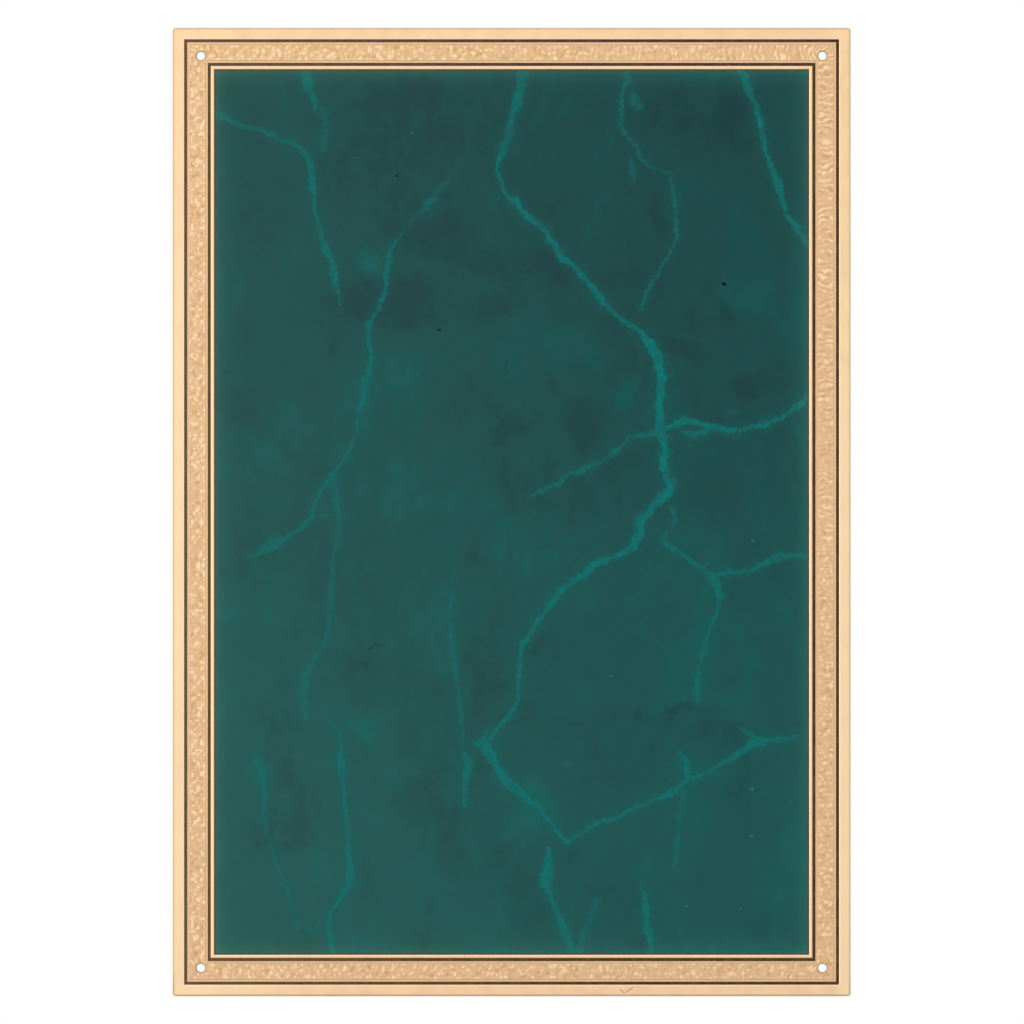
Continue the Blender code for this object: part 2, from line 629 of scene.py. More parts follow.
VEINS: tuple[Vein, ...] = (
    Vein("top left drop", 0.75, (
        (304, 60, 7), (307, 84, 7), (312, 97, 5), (316, 110, 3), (321, 126, 0),
    )),
    Vein("top left smoke", 0.3, (
        (318, 96, 0), (324, 110, 8), (326, 130, 8), (322, 150, 4), (316, 172, 0),
    ), 0.3, 4.5),
    Vein("left inlet", 0.6, (
        (206, 108, 5), (215, 113, 5), (234, 123, 4), (262, 131, 3), (277, 139, 3), (294, 142, 5),
        (302, 150, 3), (310, 163, 3), (313, 181, 0),
    )),
    Vein("left fall", 0.75, (
        (295, 134, 0), (304, 150, 3), (310, 164, 4), (311, 181, 4), (314, 196, 3), (315, 213, 3),
        (319, 226, 3), (322, 239, 4), (327, 252, 6), (332, 261, 5), (335, 273, 6), (335, 283, 3),
        (339, 293, 2), (340, 304, 2), (338, 322, 0),
    )),
    Vein("second fall, top", 0.4, (
        (474, 140, 0), (446, 185, 5), (431, 200, 6), (418, 214, 4), (405, 229, 3), (390, 250, 0),
    ), 0.3, 3.6),
    Vein("second fall, upper", 0.62, (
        (412, 219, 0), (401, 234, 2), (392, 247, 3), (389, 258, 3), (387, 272, 4), (386, 288, 4),
        (379, 309, 4), (369, 325, 5), (368, 336, 5), (371, 348, 4), (370, 366, 5), (365, 382, 6),
        (363, 399, 4), (358, 413, 3), (357, 434, 3), (350, 447, 3), (341, 463, 3), (333, 476, 3),
        (328, 486, 3), (320, 502, 0),
    )),
    Vein("second fall, left fork", 0.62, (
        (344, 452, 0), (331, 475, 3), (322, 488, 3), (316, 500, 3), (312, 517, 4), (299, 529, 3),
        (288, 536, 4), (279, 541, 8), (272, 545, 12), (266, 549, 7), (256, 555, 2), (225, 573, 0),
    )),
    Vein("fork link", 0.4, (
        (302, 524, 0), (313, 518, 3), (327, 516, 2), (338, 516, 2), (352, 508, 0),
    )),
    Vein("second fall patch", 0.32, (
        (350, 270, 0), (364, 267, 9), (378, 260, 8), (390, 252, 0),
    ), 0.3, 4.5),
    Vein("fork smoke", 0.3, (
        (268, 545, 0), (262, 560, 5), (257, 578, 0),
    ), 0.3, 4.0),
    Vein("second fall, lower", 0.42, (
        (333, 446, 0), (335, 474, 4), (337, 496, 6), (339, 522, 6), (337, 541, 4), (333, 561, 3),
        (331, 602, 3), (328, 634, 3), (321, 648, 3), (312, 662, 4), (305, 674, 9), (304, 691, 8),
        (305, 718, 4), (306, 745, 0),
    )),
    Vein("middle left thread", 0.5, (
        (452, 568, 0), (451, 595, 3), (450, 630, 3), (453, 656, 5), (457, 680, 4), (459, 700, 4),
        (462, 722, 3), (463, 740, 3), (466, 768, 0),
    )),
    Vein("lower left thread", 0.5, (
        (250, 738, 0), (257, 757, 6), (262, 772, 8), (264, 788, 4), (264, 816, 3), (268, 838, 2),
        (275, 860, 2), (284, 880, 2), (291, 903, 2), (299, 930, 2), (306, 948, 0),
    )),
    Vein("lower left fall", 0.85, (
        (338, 700, 0), (339, 730, 2), (341, 762, 5), (344, 793, 4), (347, 825, 3), (348, 850, 4),
        (350, 866, 5), (348, 884, 12), (340, 899, 4), (333, 910, 3), (327, 919, 5), (326, 934, 0),
    )),
    Vein("lower left foot", 0.85, (
        (325, 902, 0), (328, 920, 7), (330, 935, 5), (333, 962, 5),
    )),
    Vein("lower left link", 0.5, (
        (338, 910, 0), (321, 923, 3), (308, 932, 4), (294, 937, 0),
    )),
    Vein("main fall, mouth", 0.62, (
        (523, 50, 9), (521, 78, 9), (517, 98, 8), (511, 123, 6), (506, 144, 6), (501, 156, 6),
        (496, 178, 0),
    ), 0.35, 3.0),
    Vein("main fall, upper", 0.85, (
        (503, 142, 0), (499, 157, 5), (497, 168, 4), (501, 180, 3), (505, 194, 3), (514, 200, 5),
        (523, 212, 4), (532, 220, 5), (544, 230, 4), (552, 241, 4), (562, 257, 5), (577, 270, 4),
        (587, 281, 4), (594, 290, 5), (601, 299, 4), (613, 313, 4), (626, 323, 5), (638, 330, 5),
        (652, 338, 0),
    )),
    Vein("main fall, stem", 1.0, (
        (630, 318, 0), (641, 331, 6), (649, 342, 7), (656, 353, 7), (658, 366, 8), (661, 376, 10),
        (661, 389, 8), (659, 407, 9), (661, 428, 8), (664, 444, 6), (663, 464, 6), (666, 477, 6),
        (670, 488, 4), (676, 503, 0),
    )),
    Vein("main fall, bend", 0.85, (
        (684, 464, 0), (675, 479, 6), (673, 482, 7), (669, 492, 7), (658, 502, 6), (649, 513, 7),
        (640, 523, 9), (641, 533, 9), (632, 548, 6), (619, 555, 4), (603, 560, 7), (594, 564, 6),
        (585, 574, 5), (569, 583, 3), (557, 595, 4), (547, 609, 6), (537, 622, 3), (529, 635, 3),
        (521, 647, 5), (521, 665, 4), (518, 684, 4), (517, 703, 3), (509, 716, 3), (500, 726, 4),
        (488, 740, 6), (476, 752, 0),
    )),
    Vein("crossing, down left", 0.65, (
        (499, 721, 0), (487, 733, 6), (477, 744, 8), (470, 756, 0),
    )),
    Vein("crossing prong", 0.8, (
        (460, 736, 0), (464, 752, 3), (468, 765, 7), (466, 776, 5), (465, 788, 3), (464, 806, 3),
        (462, 824, 0),
    )),
    Vein("prong twig", 0.5, (
        (480, 750, 0), (473, 762, 4), (465, 773, 0),
    )),
    Vein("crossing, down right", 0.9, (
        (472, 728, 0), (486, 744, 9), (494, 763, 6), (503, 778, 7), (516, 789, 9), (528, 799, 6),
        (536, 806, 4), (546, 817, 3), (555, 830, 3), (568, 842, 4), (576, 852, 0),
    )),
    Vein("main left arm", 0.6, (
        (668, 424, 0), (658, 431, 6), (647, 435, 4), (631, 437, 5), (621, 447, 3), (607, 457, 3),
        (594, 464, 3), (583, 471, 4), (569, 474, 3), (560, 482, 4), (542, 492, 3), (531, 496, 2),
        (514, 503, 0),
    )),
    Vein("main right arm", 0.85, (
        (644, 438, 0), (661, 430, 5), (670, 427, 6), (687, 420, 7), (700, 424, 3), (713, 427, 6),
        (730, 430, 5), (740, 431, 5), (753, 426, 3), (771, 423, 3), (782, 419, 3), (792, 411, 4),
        (801, 404, 5), (809, 397, 6), (820, 390, 6),
    )),
    Vein("right arm loop", 0.7, (
        (670, 424, 0), (680, 431, 3), (690, 435, 5), (702, 434, 4), (712, 427, 3), (722, 420, 0),
    )),
    Vein("right arm shadow", 0.3, (
        (716, 416, 0), (727, 412, 6), (738, 413, 4), (752, 414, 0),
    ), 0.3, 4.0),
    Vein("right arm spur", 0.3, (
        (706, 428, 0), (690, 445, 3), (678, 466, 0),
    )),
    Vein("bend link", 0.45, (
        (667, 496, 0), (671, 508, 4), (676, 519, 3), (669, 529, 2), (663, 540, 2), (656, 552, 0),
    )),
    Vein("lower right run", 0.62, (
        (648, 530, 0), (661, 539, 4), (670, 547, 4), (688, 558, 4), (699, 567, 5), (711, 576, 7),
        (718, 588, 6), (720, 599, 5), (716, 615, 3), (710, 630, 3), (705, 643, 3), (700, 662, 3),
        (697, 682, 3), (698, 702, 2), (698, 718, 0),
    )),
    Vein("lower right arm", 0.6, (
        (700, 572, 0), (712, 576, 5), (727, 573, 4), (748, 571, 4), (766, 563, 4), (781, 556, 6),
        (795, 556, 4), (808, 555, 4), (822, 554, 4),
    )),
    Vein("lower right knot", 0.4, (
        (694, 557, 0), (708, 562, 4), (722, 571, 0),
    )),
    Vein("bottom right climb", 0.72, (
        (558, 848, 0), (568, 842, 4), (577, 836, 3), (594, 824, 3), (610, 820, 4), (626, 811, 3),
        (647, 803, 3), (670, 794, 5), (686, 782, 5), (695, 778, 5), (711, 770, 3), (730, 760, 4),
        (746, 748, 6), (756, 740, 10), (771, 741, 4), (785, 739, 8), (797, 736, 4), (810, 734, 0),
    )),
    Vein("climb spike", 0.5, (
        (766, 742, 0), (754, 735, 5), (741, 728, 3), (726, 720, 0),
    )),
    Vein("climb branch up", 0.6, (
        (694, 792, 0), (688, 778, 5), (685, 760, 4), (680, 750, 4), (669, 736, 0),
    )),
    Vein("climb branch down", 0.48, (
        (686, 770, 0), (683, 790, 4), (680, 815, 3), (678, 840, 4), (675, 866, 4), (671, 900, 0),
    ), 0.3, 2.4),
    Vein("bottom middle fall", 0.8, (
        (546, 826, 0), (548, 848, 3), (547, 866, 6), (546, 880, 10), (550, 897, 6), (559, 915, 5),
        (567, 936, 7), (573, 965, 9),
    )),
    Vein("bottom middle wing", 0.5, (
        (577, 965, 8), (581, 942, 6), (590, 922, 4), (597, 899, 3), (606, 872, 0),
    ), 0.3, 3.0),
    Vein("bottom right foot", 0.75, (
        (638, 864, 0), (642, 884, 4), (645, 904, 5), (648, 928, 6), (653, 965, 8),
    )),
    Vein("top right fall", 0.75, (
        (738, 60, 8), (744, 76, 8), (750, 94, 6), (757, 110, 5), (762, 130, 5), (766, 153, 4),
        (772, 169, 4), (778, 184, 7), (781, 198, 5), (786, 214, 3), (796, 227, 6), (805, 241, 5),
        (818, 256, 5),
    )),
    Vein("upper fall, top", 0.5, (
        (625, 60, 6), (627, 80, 6), (622, 98, 3), (620, 114, 4), (621, 128, 4), (628, 139, 3),
        (637, 147, 3), (640, 158, 3), (648, 167, 3), (660, 170, 2), (669, 173, 3), (673, 190, 2),
        (676, 214, 3), (676, 238, 3), (671, 252, 2), (660, 270, 2), (650, 286, 3), (645, 298, 3),
        (640, 310, 3), (637, 326, 0),
    )),
    Vein("upper fall smoke", 0.4, (
        (624, 80, 0), (632, 96, 6), (639, 108, 7), (650, 117, 0),
    ), 0.3, 4.0),
    Vein("upper fall tooth", 0.45, (
        (629, 142, 0), (632, 160, 4), (634, 180, 5), (637, 200, 0),
    ), 0.3, 3.0),
)


@dataclass(frozen=True)
class Patch:
    """An oval cloud, speck or scratch, read off the photograph.

    Attributes:
        centre: Its middle, as (right, down) pixels of the photograph.
        reach: Half its length and half its width, in pixels.
        strength: How strongly it shows, up to 1. A cloud is dark where this is negative.
        turn: How far its length turns up from level, in degrees.
    """

    centre: tuple[float, float]
    reach: tuple[float, float]
    strength: float
    turn: float = 0.0


CLOUDS: tuple[Patch, ...] = (
    Patch((379, 145), (80, 80), -0.45),
    Patch((430, 238), (50, 24), -0.5),
    Patch((534, 268), (95, 17), -0.5, -8),
    Patch((390, 303), (62, 25), -0.55),
    Patch((494, 305), (46, 15), -0.45, 22),
    Patch((694, 122), (62, 42), -0.55),
    Patch((664, 200), (12, 42), -0.5),
    Patch((744, 98), (34, 22), -0.35),
    Patch((584, 425), (20, 32), -0.45),
    Patch((514, 427), (34, 10), -0.5, 30),
    Patch((431, 452), (8, 25), -0.4),
    Patch((726, 308), (36, 9), -0.55, -42),
    Patch((689, 350), (25, 12), -0.45, -20),
    Patch((764, 381), (46, 17), -0.45, 6),
    Patch((614, 365), (32, 12), -0.4, 40),
    Patch((714, 495), (36, 38), -0.35),
    Patch((584, 515), (14, 32), -0.4),
    Patch((474, 560), (18, 22), -0.4),
    Patch((364, 682), (62, 30), -0.3),
    Patch((244, 385), (45, 50), -0.25),
    Patch((304, 460), (30, 14), -0.3, -25),
    Patch((274, 810), (45, 55), -0.22),
    Patch((644, 715), (120, 7), -0.3, 3),
    Patch((680, 708.5), (21, 4.5), -0.75),
    Patch((534, 646), (7, 12), -0.55, -20),
    Patch((554, 656), (6, 6), -0.4),
    Patch((501, 718), (8, 5), -0.6, 35),
    Patch((509, 880), (13, 52), -0.3, 14),
    Patch((371, 265), (19, 12), 0.65),
    Patch((389, 366), (66, 30), 0.35),
    Patch((524, 348), (74, 30), 0.4),
    Patch((696, 298), (34, 14), 0.4),
    Patch((607, 160), (11, 52), 0.45, 4),
    Patch((594, 222), (8, 30), 0.4, -12),
    Patch((439, 520), (60, 34), 0.35),
    Patch((364, 731), (22, 10), 0.45, -22),
    Patch((526, 815), (40, 32), 0.42),
    Patch((706, 702), (60, 24), 0.35),
    Patch((429, 890), (46, 34), 0.25),
    Patch((801, 440), (8, 30), 0.45),
    Patch((629, 388), (7, 34), 0.35, -32),
    Patch((262, 772), (14, 24), 0.4, 20),
    Patch((441, 600), (34, 68), 0.28),
    Patch((309, 664), (17, 15), 0.35),
    Patch((545, 95), (8, 44), 0.25, -14),
    Patch((488, 190), (8, 40), 0.2, 25),
    Patch((236, 688), (14, 32), 0.25),
    Patch((720, 615), (90, 60), 0.22),
    Patch((760, 250), (50, 70), 0.25),
)
DARK_SPECKS: tuple[Patch, ...] = (
    Patch((724, 284), (2.6, 1.6), 1.0, -35),
    Patch((439, 330), (2.6, 1.2), 0.7, -20),
    Patch((397, 176), (2.2, 1.1), 0.7, -30),
    Patch((527, 272), (1.5, 1.0), 0.5),
    Patch((506, 365), (4.5, 0.7), 0.45, 55),
    Patch((507, 371), (3.0, 0.7), 0.35, 120),
    Patch((371, 648), (5.0, 0.7), 0.55, 35),
    Patch((377, 645), (3.5, 0.7), 0.55, -30),
    Patch((366, 664), (2.0, 0.8), 0.35),
)
PALE_SPECKS: tuple[Patch, ...] = (
    Patch((752, 789), (1.8, 1.5), 0.7),
    Patch((751, 836), (1.5, 1.3), 0.7),
    Patch((741, 909), (1.4, 1.2), 0.5),
    Patch((687, 906), (1.4, 1.2), 0.4),
    Patch((353, 158), (1.3, 1.1), 0.35),
    Patch((412, 133), (1.8, 1.4), 0.45),
    Patch((753, 541), (1.8, 1.5), 0.45),
    Patch((611, 676), (1.6, 1.3), 0.45),
    Patch((567, 764), (3.6, 2.8), 0.18),
)
RIM_SCRATCH: tuple[Patch, ...] = (
    Patch((622, 991), (3.2, 0.8), 0.75, -40),
    Patch((629, 990), (5.5, 0.8), 0.75, 32),
)


def patch_group() -> bpy.types.NodeTree:
    """A soft-edged oval patch, for clouds in the lacquer and for specks and scratches.

    Returns:
        A group that takes Place, Centre, a Core's share of the reach, and the patch's Length and
        Width as vectors of one over its reach. It gives a Mask from 0 to 1.
    """
    board, given, wanted = new_group(
        "oval_patch", ("Place", "Centre", "Length", "Width"), ("Core",), ("Mask",)
    )
    away = board.vector("SUBTRACT", given["Place"], given["Centre"])[0]
    along = board.vector("DOT_PRODUCT", away, given["Length"])["Value"]
    aside = board.vector("DOT_PRODUCT", away, given["Width"])["Value"]
    squares = board.math("MULTIPLY_ADD", along, along, board.math("MULTIPLY", aside, aside))
    board.feed(wanted["Mask"], board.remap(squares, given["Core"], PATCH_END, 1.0, 0.0))
    return board.tree


@dataclass(frozen=True)
class PhotoPlane:
    """Places things on the plate's face by where the photograph shows them.

    Attributes:
        outline: The plate's outline.
        patches: The shared patch group.
        centre: The plate's centre, as (right, down) pixels.
        plate_width: The plate's width in pixels.
    """

    outline: Outline
    patches: bpy.types.NodeTree
    centre: tuple[float, float] = (511.6, 512.0)
    plate_width: float = 677.9

    @property
    def pixel(self) -> float:
        """Size of one pixel, in metres."""
        return self.outline.width / self.plate_width

    def spot(self, right: float, down: float) -> Vector:
        """A pixel's place as (x, z, 0) metres."""
        return Vector((right - self.centre[0], self.centre[1] - down, 0.0)) * self.pixel

    def flat(self, board: Board) -> Socket:
        """Object coordinates laid flat, as (x, z, 0)."""
        parts = board.axes()
        flat = board.add("CombineXYZ")
        board.feed(flat.inputs["X"], parts["X"])
        board.feed(flat.inputs["Y"], parts["Z"])
        return flat.outputs[0]

    def mask(self, board: Board, place: Socket, patch: Patch, core: float) -> Socket:
        """Place one oval patch.

        Args:
            board: The material's board.
            place: Flat coordinates, warped or not.
            patch: Where it is, and how long and wide.
            core: How much of its reach is solid.

        Returns:
            The patch's mask.
        """
        turn = Matrix.Rotation(math.radians(patch.turn), 3, "Z")
        length, width = (reach * self.pixel for reach in patch.reach)
        return board.group(
            self.patches,
            Place=place,
            Centre=tuple(self.spot(*patch.centre)),
            Length=tuple(turn.col[0] / length),
            Width=tuple(turn.col[1] / width),
            Core=core,
        )["Mask"]


@dataclass(frozen=True)
class VeinPainter:
    """Draws veins as lines of changing width along a chord.

    Attributes:
        plane: Where the photograph's pixels lie.
        board: The material's board.
        place: Flat coordinates, shaken a little.
        ragged: Unevenness of the veins' edges, in pixels.
        swelling: Half-width of a vein whose curve reads 1, in pixels, changing over the panel.
    """

    plane: PhotoPlane
    board: Board
    place: Socket
    ragged: Socket
    swelling: Socket

    def curve(self, along: Socket, points: list[tuple[float, float]]) -> Socket:
        """Add a Float Curve that runs straight between its points.

        Args:
            along: Place along the chord, from 0 to 1.
            points: Pairs of place along the chord and value from -1 to 1.

        Returns:
            The curve's value.
        """
        node = self.board.add("FloatCurve")
        mapping = node.mapping
        mapping.clip_min_y = -1.0
        mapping.extend = "HORIZONTAL"
        line = mapping.curves[0]
        line.points[0].location = points[0]
        line.points[1].location = points[-1]
        for place, value in points[1:-1]:
            line.points.new(place, value)
        for point in line.points:
            point.handle_type = "VECTOR"
        mapping.update()
        self.board.feed(node.inputs["Value"], along)
        return node.outputs[0]

    def draw(self, vein: Vein) -> tuple[Socket, Socket]:
        """Draw one vein.

        Args:
            vein: The vein.

        Returns:
            Masks of the vein's core and of its smoke.
        """
        board, pixel = self.board, self.plane.pixel
        spots = [self.plane.spot(right, down) for right, down, _ in vein.route]
        chord = spots[-1] - spots[0]
        heading = chord.normalized()
        side = Vector((-heading.y, heading.x, 0.0))
        along = [(spot - spots[0]).dot(heading) / chord.length for spot in spots]
        if any(later <= earlier for earlier, later in zip(along, along[1:])):
            raise ValueError(f"the route of {vein.name!r} turns back along its chord")
        aside = [(spot - spots[0]).dot(side) for spot in spots]
        span = max(max(abs(step) for step in aside), LEAST_BOW * pixel)
        halves = [width / 2 if width else -VEIN_FADED for _, _, width in vein.route]

        away = board.vector("SUBTRACT", self.place, tuple(spots[0]))[0]
        ahead = board.vector("DOT_PRODUCT", away, tuple(heading / chord.length))["Value"]
        across = board.vector("DOT_PRODUCT", away, tuple(side / span))["Value"]
        line = self.curve(ahead, [(t, step / span) for t, step in zip(along, aside)])
        half = self.curve(ahead, [(t, h / VEIN_REACH) for t, h in zip(along, halves)])
        off = board.math("ABSOLUTE", board.math("SUBTRACT", across, line))
        short = board.math("MULTIPLY_ADD", off, -span / pixel, self.ragged)
        inside = board.math("MULTIPLY_ADD", half, self.swelling, short)
        core = board.remap(inside, -vein.blur, vein.blur, 0.0, vein.strength)
        halo = board.remap(inside, -VEIN_SMOKE, SMOKE_INSET, 0.0, vein.halo * vein.strength)
        return core, halo


@dataclass(frozen=True)
class Glare:
    """A painted highlight where the lacquer on the rim catches the light: on the left, and on the
    lower right.

    Attributes:
        colour: The gold's colour there.
        left: Shares of half the width between which it grows on the left.
        right: The same on the right.
        left_down: Shares of half the height between which the left side's grows downwards.
        right_down: The same for the right side's.
        least_left: How strong it is at the top of the left side.
    """

    colour: Colour = (1.0, 0.745, 0.458)
    left: Span = (-0.5, -1.0)
    right: Span = (0.94, 0.97)
    left_down: Span = (0.9, 0.25)
    right_down: Span = (0.9, -0.15)
    least_left: float = 0.3

    def mask(self, board: Board, outline: Outline) -> Socket:
        """Show where it lies.

        Args:
            board: The material's board.
            outline: The plate's outline.

        Returns:
            Its mask.
        """
        parts = board.axes()
        wide, high = outline.half()
        left = board.remap(parts["X"], *portions(wide, self.left))
        below = board.remap(parts["Z"], *portions(high, self.left_down), self.least_left)
        right = board.remap(parts["X"], *portions(wide, self.right))
        low = board.remap(parts["Z"], *portions(high, self.right_down))
        return board.math("MULTIPLY_ADD", left, below, board.math("MULTIPLY", right, low), clamp=True)


@dataclass(frozen=True)
class SatinGold:
    """Clear-lacquered satin gold, with its grain, a painted shade along the sheet's edge and its
    scratches.

    Attributes:
        name: The material's name.
        pale: Colour of the lighter patches.
        deep: Colour of the darker patches.
        edge: Colour of the painted shade along the sheet's edge, and of the scratches.
        glare: A painted highlight where it catches the light, if it has one.
        edge_shade_width: How far the painted edge shade reaches inwards, in metres.
        edge_shade_low: Shares of the height between which the painted edge shade grows stronger, at
            the bottom.
        edge_shade_strength: How strong it is elsewhere.
        roughness: Least and greatest roughness.
        grain_scale: Grains to a metre.
        grain_height: How deep the grain is, in metres.
        rolling: How many times longer the grain runs up the plate than across it.
        scratches: Fine dark scratches.
    """

    name: str = "satin_gold"
    pale: Colour = (0.955, 0.682, 0.413)
    deep: Colour = (0.935, 0.655, 0.394)
    edge: Colour = (0.50, 0.32, 0.20)
    glare: Glare | None = None
    edge_shade_width: float = 0.75 * MM
    edge_shade_low: Span = (-0.47, -0.5)
    edge_shade_strength: float = 0.6
    roughness: Span = (0.36, 0.44)
    grain_scale: float = 3200.0
    grain_height: float = 0.004 * MM
    rolling: float = 1.0
    scratches: tuple[Patch, ...] = ()

    def painted_edge_shade(self, board: Board, outline: Outline) -> Socket:
        """The painted shade along the sheet's edge, strongest at the bottom.

        Args:
            board: The material's board.
            outline: The plate's outline.

        Returns:
            Its mask.
        """
        inset = board.math("MINIMUM", *board.insets(outline))
        near = board.remap(inset, self.edge_shade_width, 0.0)
        edge_shade_low = portions(outline.height, self.edge_shade_low)
        low = board.remap(board.axes()["Z"], *edge_shade_low, self.edge_shade_strength)
        return board.math("MULTIPLY", near, low)

    def material(self, grain: bpy.types.NodeTree, plane: PhotoPlane) -> bpy.types.Material:
        """Build the finish.

        Args:
            grain: The shared grain group.
            plane: Where the photograph's pixels lie.

        Returns:
            The material.
        """
        material, board, shader = new_material(self.name)
        place = board.vector("MULTIPLY", board.object_place(), (1.0, 1.0, 1 / self.rolling))[0]
        worn = board.group(grain, Place=place, Scale=self.grain_scale)
        colour = board.mix(board.remap(worn["Tint"], *NOISE_SPAN), self.deep, self.pale)
        if self.glare:
            # Painted highlight where the rim catches the light.
            colour = board.mix(self.glare.mask(board, plane.outline), colour, self.glare.colour)
        # Painted shade along the sheet's edge, strongest at the bottom.
        colour = board.mix(self.painted_edge_shade(board, plane.outline), colour, self.edge)
        if self.scratches:
            shown: object = 0.0
            for scratch in self.scratches:
                mask = plane.mask(board, plane.flat(board), scratch, SPECK_CORE)
                shown = board.math("MAXIMUM", shown, board.math("MULTIPLY", mask, scratch.strength))
            colour = board.mix(shown, colour, self.edge)
        shader.inputs["Metallic"].default_value = 1.0
        rough = board.remap(worn["Sheen"], *NOISE_SPAN, *self.roughness)
        board.dress(shader, colour, rough, worn["Height"], self.grain_height)
        return material


@dataclass(frozen=True)
class HammeredGold:
    """The band's gold, with painted shade in the hollows of its relief and a painted highlight on the
    crests.

    Attributes:
        hollow: Colour at the bottom of the relief, darkened as painted shade.
        middle: Colour half-way up.
        crest: Colour at its top, brightened as painted highlight.
        lower: Levels of the relief between which the hollow turns into the middle.
        upper: Levels between which the middle turns into the crest.
        roughness: Roughness on the crests and in the hollows.
        grain_scale: Grains to a metre.
        grain_height: How deep the grain is, in metres.
        grain_shade: How much of the hollow's colour the grain shows.
    """

    hollow: Colour = (0.64, 0.39, 0.205)
    middle: Colour = (0.800, 0.525, 0.290)
    crest: Colour = (1.0, 0.735, 0.460)
    lower: Span = (0.05, 0.50)
    upper: Span = (0.50, 0.95)
    roughness: Span = (0.37, 0.42)
    grain_scale: float = 3600.0
    grain_height: float = 0.006 * MM
    grain_shade: float = 0.12

    def material(self, grain: bpy.types.NodeTree, relief: str) -> bpy.types.Material:
        """Build the finish.

        Args:
            grain: The shared grain group.
            relief: Name of the mesh attribute that holds the relief, from 0 to 1.

        Returns:
            The material.
        """
        material, board, shader = new_material("hammered_gold")
        level = board.add("Attribute", attribute_name=relief).outputs["Fac"]
        worn = board.group(grain, Place=board.object_place(), Scale=self.grain_scale)
        # Painted shade in the hollows and a painted highlight on the crests, by the relief's level.
        low = board.mix(board.remap(level, *self.lower), self.hollow, self.middle)
        colour = board.mix(board.remap(level, *self.upper), low, self.crest)
        soft = board.remap(worn["Height"], *NOISE_SPAN, 0.0, self.grain_shade)
        colour = board.mix(soft, colour, self.hollow)
        shader.inputs["Metallic"].default_value = 1.0
        rough = board.remap(level, *FULL_SPAN, *reversed(self.roughness))
        board.dress(shader, colour, rough, worn["Height"], self.grain_height)
        return material


@dataclass(frozen=True)
class Tile:
    """A part of the panel with a material of its own, which holds only what crosses it.

    Attributes:
        low: Its top left corner, as (right, down) pixels of the photograph.
        high: Its bottom right corner.
        name: Its row and column.
    """

    low: tuple[float, float]
    high: tuple[float, float]
    name: str

    def near(self, right: float, down: float, margin: float) -> bool:
        """Whether a pixel lies on the tile or within a margin of it."""
        beside = self.low[0] - margin <= right <= self.high[0] + margin
        return beside and self.low[1] - margin <= down <= self.high[1] + margin

    def crossed(self, vein: Vein, margin: float) -> bool:
        """Whether a vein comes near the tile.

        Args:
            vein: The vein.
            margin: How near counts, in pixels.

        Returns:
            True if any stretch of it does.
        """
        for (x0, y0, _), (x1, y1, _) in zip(vein.route, vein.route[1:]):
            steps = max(2, round(math.hypot(x1 - x0, y1 - y0) / ROUTE_STEP))
            shares = (step / steps for step in range(steps + 1))
            spots = ((x0 + share * (x1 - x0), y0 + share * (y1 - y0)) for share in shares)
            if any(self.near(*spot, margin) for spot in spots):
                return True
        return False


@dataclass(frozen=True)
class Canvas:
    """The finish of one tile under construction.

    Attributes:
        board: The material's board.
        plane: Where the photograph's pixels lie.
        tile: The part of the panel that it covers.
        flat: Object coordinates laid flat.
    """

    board: Board
    plane: PhotoPlane
    tile: Tile
    flat: Socket

    def shake(
        self, place: Socket, scale: float, reach: float, detail: float = 2.0, roughness: float = 0.5
    ) -> Socket:
        """Pull coordinates about.

        Args:
            place: The coordinates.
            scale: Noise cells to a metre.
            reach: How far they are pulled, in metres.
            detail: Octaves of finer noise.
            roughness: How strong each finer octave is.

        Returns:
            The warped coordinates.
        """
        pull = self.board.noise(self.flat, scale, detail, roughness, output="Color")
        pull = self.board.vector("SUBTRACT", pull, (0.5, 0.5, 0.5))[0]
        return self.board.vector("MULTIPLY_ADD", pull, (reach,) * 3, place)[0]

    def add_patches(
        self, shown: object, forms: tuple[Patch, ...], place: Socket, core: float, margin: float
    ) -> object:
        """Add the patches that reach the tile.

        Args:
            shown: What they are added to.
            forms: The patches.
            place: Flat coordinates, warped or not.
            core: How much of a patch's reach is solid.
            margin: How near a patch's end counts, in pixels.

        Returns:
            The sum.
        """
        for form in forms:
            if self.tile.near(*form.centre, PATCH_SPREAD * max(form.reach) + margin):
                mask = self.plane.mask(self.board, place, form, core)
                shown = self.board.math("MULTIPLY_ADD", mask, form.strength, shown)
        return shown


